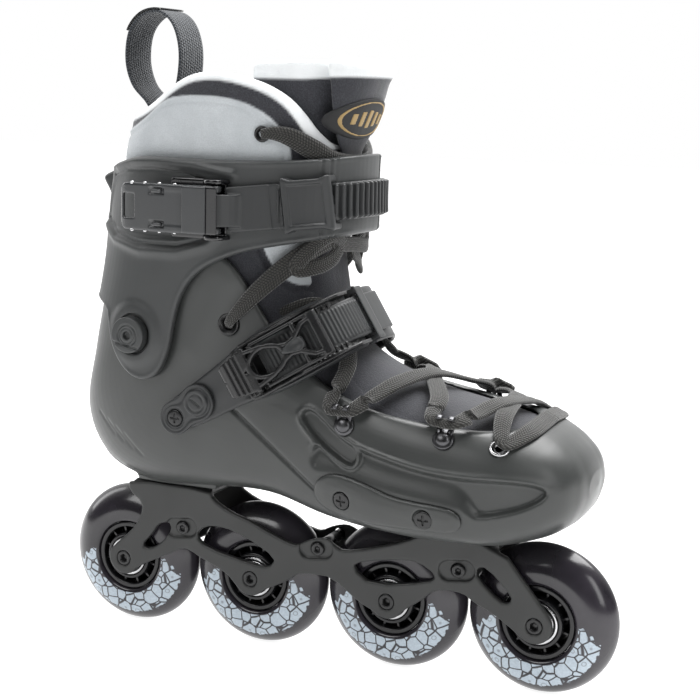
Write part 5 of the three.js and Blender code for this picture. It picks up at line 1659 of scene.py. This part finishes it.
def area_light(name, where, towards, size, power, color=(1, 1, 1)):
    lamp = bpy.data.lights.new(name, "AREA")
    lamp.shape = "RECTANGLE"
    lamp.size, lamp.size_y = size
    lamp.energy = power
    lamp.color = color
    made = bpy.data.objects.new(name, lamp)
    made.location = where
    made.rotation_mode = "QUATERNION"
    made.rotation_quaternion = (Vector(towards) - Vector(where)).to_track_quat("-Z", "Y")
    bpy.context.scene.collection.objects.link(made)


def studio_world(backdrop=(-0.22, 0.75, 0.62)):
    """A white studio: the camera sees white, and the light comes mostly from behind and above."""
    world = bpy.data.worlds.new("studio")
    world.use_nodes = True
    tree = world.node_tree
    seen = tree.nodes["Background"]
    seen.inputs["Color"].default_value = (1, 1, 1, 1)
    place = tree.nodes.new("ShaderNodeTexCoord")
    towards = tree.nodes.new("ShaderNodeVectorMath")
    towards.operation = "DOT_PRODUCT"
    towards.inputs[1].default_value = backdrop
    glow = tree.nodes.new("ShaderNodeMapRange")
    for name, value in (("From Min", 0.15), ("From Max", 0.95), ("To Min", 0.09), ("To Max", 1.9)):
        glow.inputs[name].default_value = value
    light = tree.nodes.new("ShaderNodeBackground")
    path = tree.nodes.new("ShaderNodeLightPath")
    either_one = tree.nodes.new("ShaderNodeMixShader")
    for source, target in (
        (place.outputs["Generated"], towards.inputs[0]),
        (towards.outputs["Value"], glow.inputs["Value"]),
        (glow.outputs["Result"], light.inputs["Strength"]),
        (path.outputs["Is Camera Ray"], either_one.inputs[0]),
        (light.outputs[0], either_one.inputs[1]),
        (seen.outputs[0], either_one.inputs[2]),
        (either_one.outputs[0], tree.nodes["World Output"].inputs["Surface"]),
    ):
        tree.links.new(source, target)
    return world


bpy.context.scene.world = studio_world()
bpy.context.scene.view_settings.view_transform = "Standard"
area_light("key", (-0.5, -1.0, 1.1), (0, 0, 0.15), (0.9, 0.5), 7)
area_light("side", (1.3, -0.6, 0.7), (0, 0, 0.12), (0.3, 0.9), 3.5)
area_light("rim", (-1.3, 0.1, 0.7), (0, 0, 0.2), (0.3, 1.0), 3)
area_light("top", (0.25, 0.35, 1.25), (0.1, 0, 0.15), (1.3, 1.0), 34)

# The camera: its direction and roll in degrees, the point it looks at and how far off it is.
AZIMUTH, ELEVATION, ROLL = 23.74, 9.69, 1.345
TARGET = Vector((8.9, 0, 169.5)) * MM
DISTANCE = 803.5 * MM
azimuth, elevation, roll = (math.radians(a) for a in (AZIMUTH, ELEVATION, ROLL))
back = Vector((math.sin(azimuth), -math.cos(azimuth), math.tan(elevation))) * math.cos(elevation)
camera = bpy.data.objects.new("camera", bpy.data.cameras.new("camera"))
camera.data.lens = 77.8
camera.data.sensor_width = 36
camera.data.clip_start = 0.01
camera.location = TARGET + back * DISTANCE
camera.rotation_mode = "QUATERNION"
camera.rotation_quaternion = (-back).to_track_quat("-Z", "Y") @ Matrix.Rotation(roll, 3, "Z").to_quaternion()
bpy.context.scene.collection.objects.link(camera)
bpy.context.scene.camera = camera
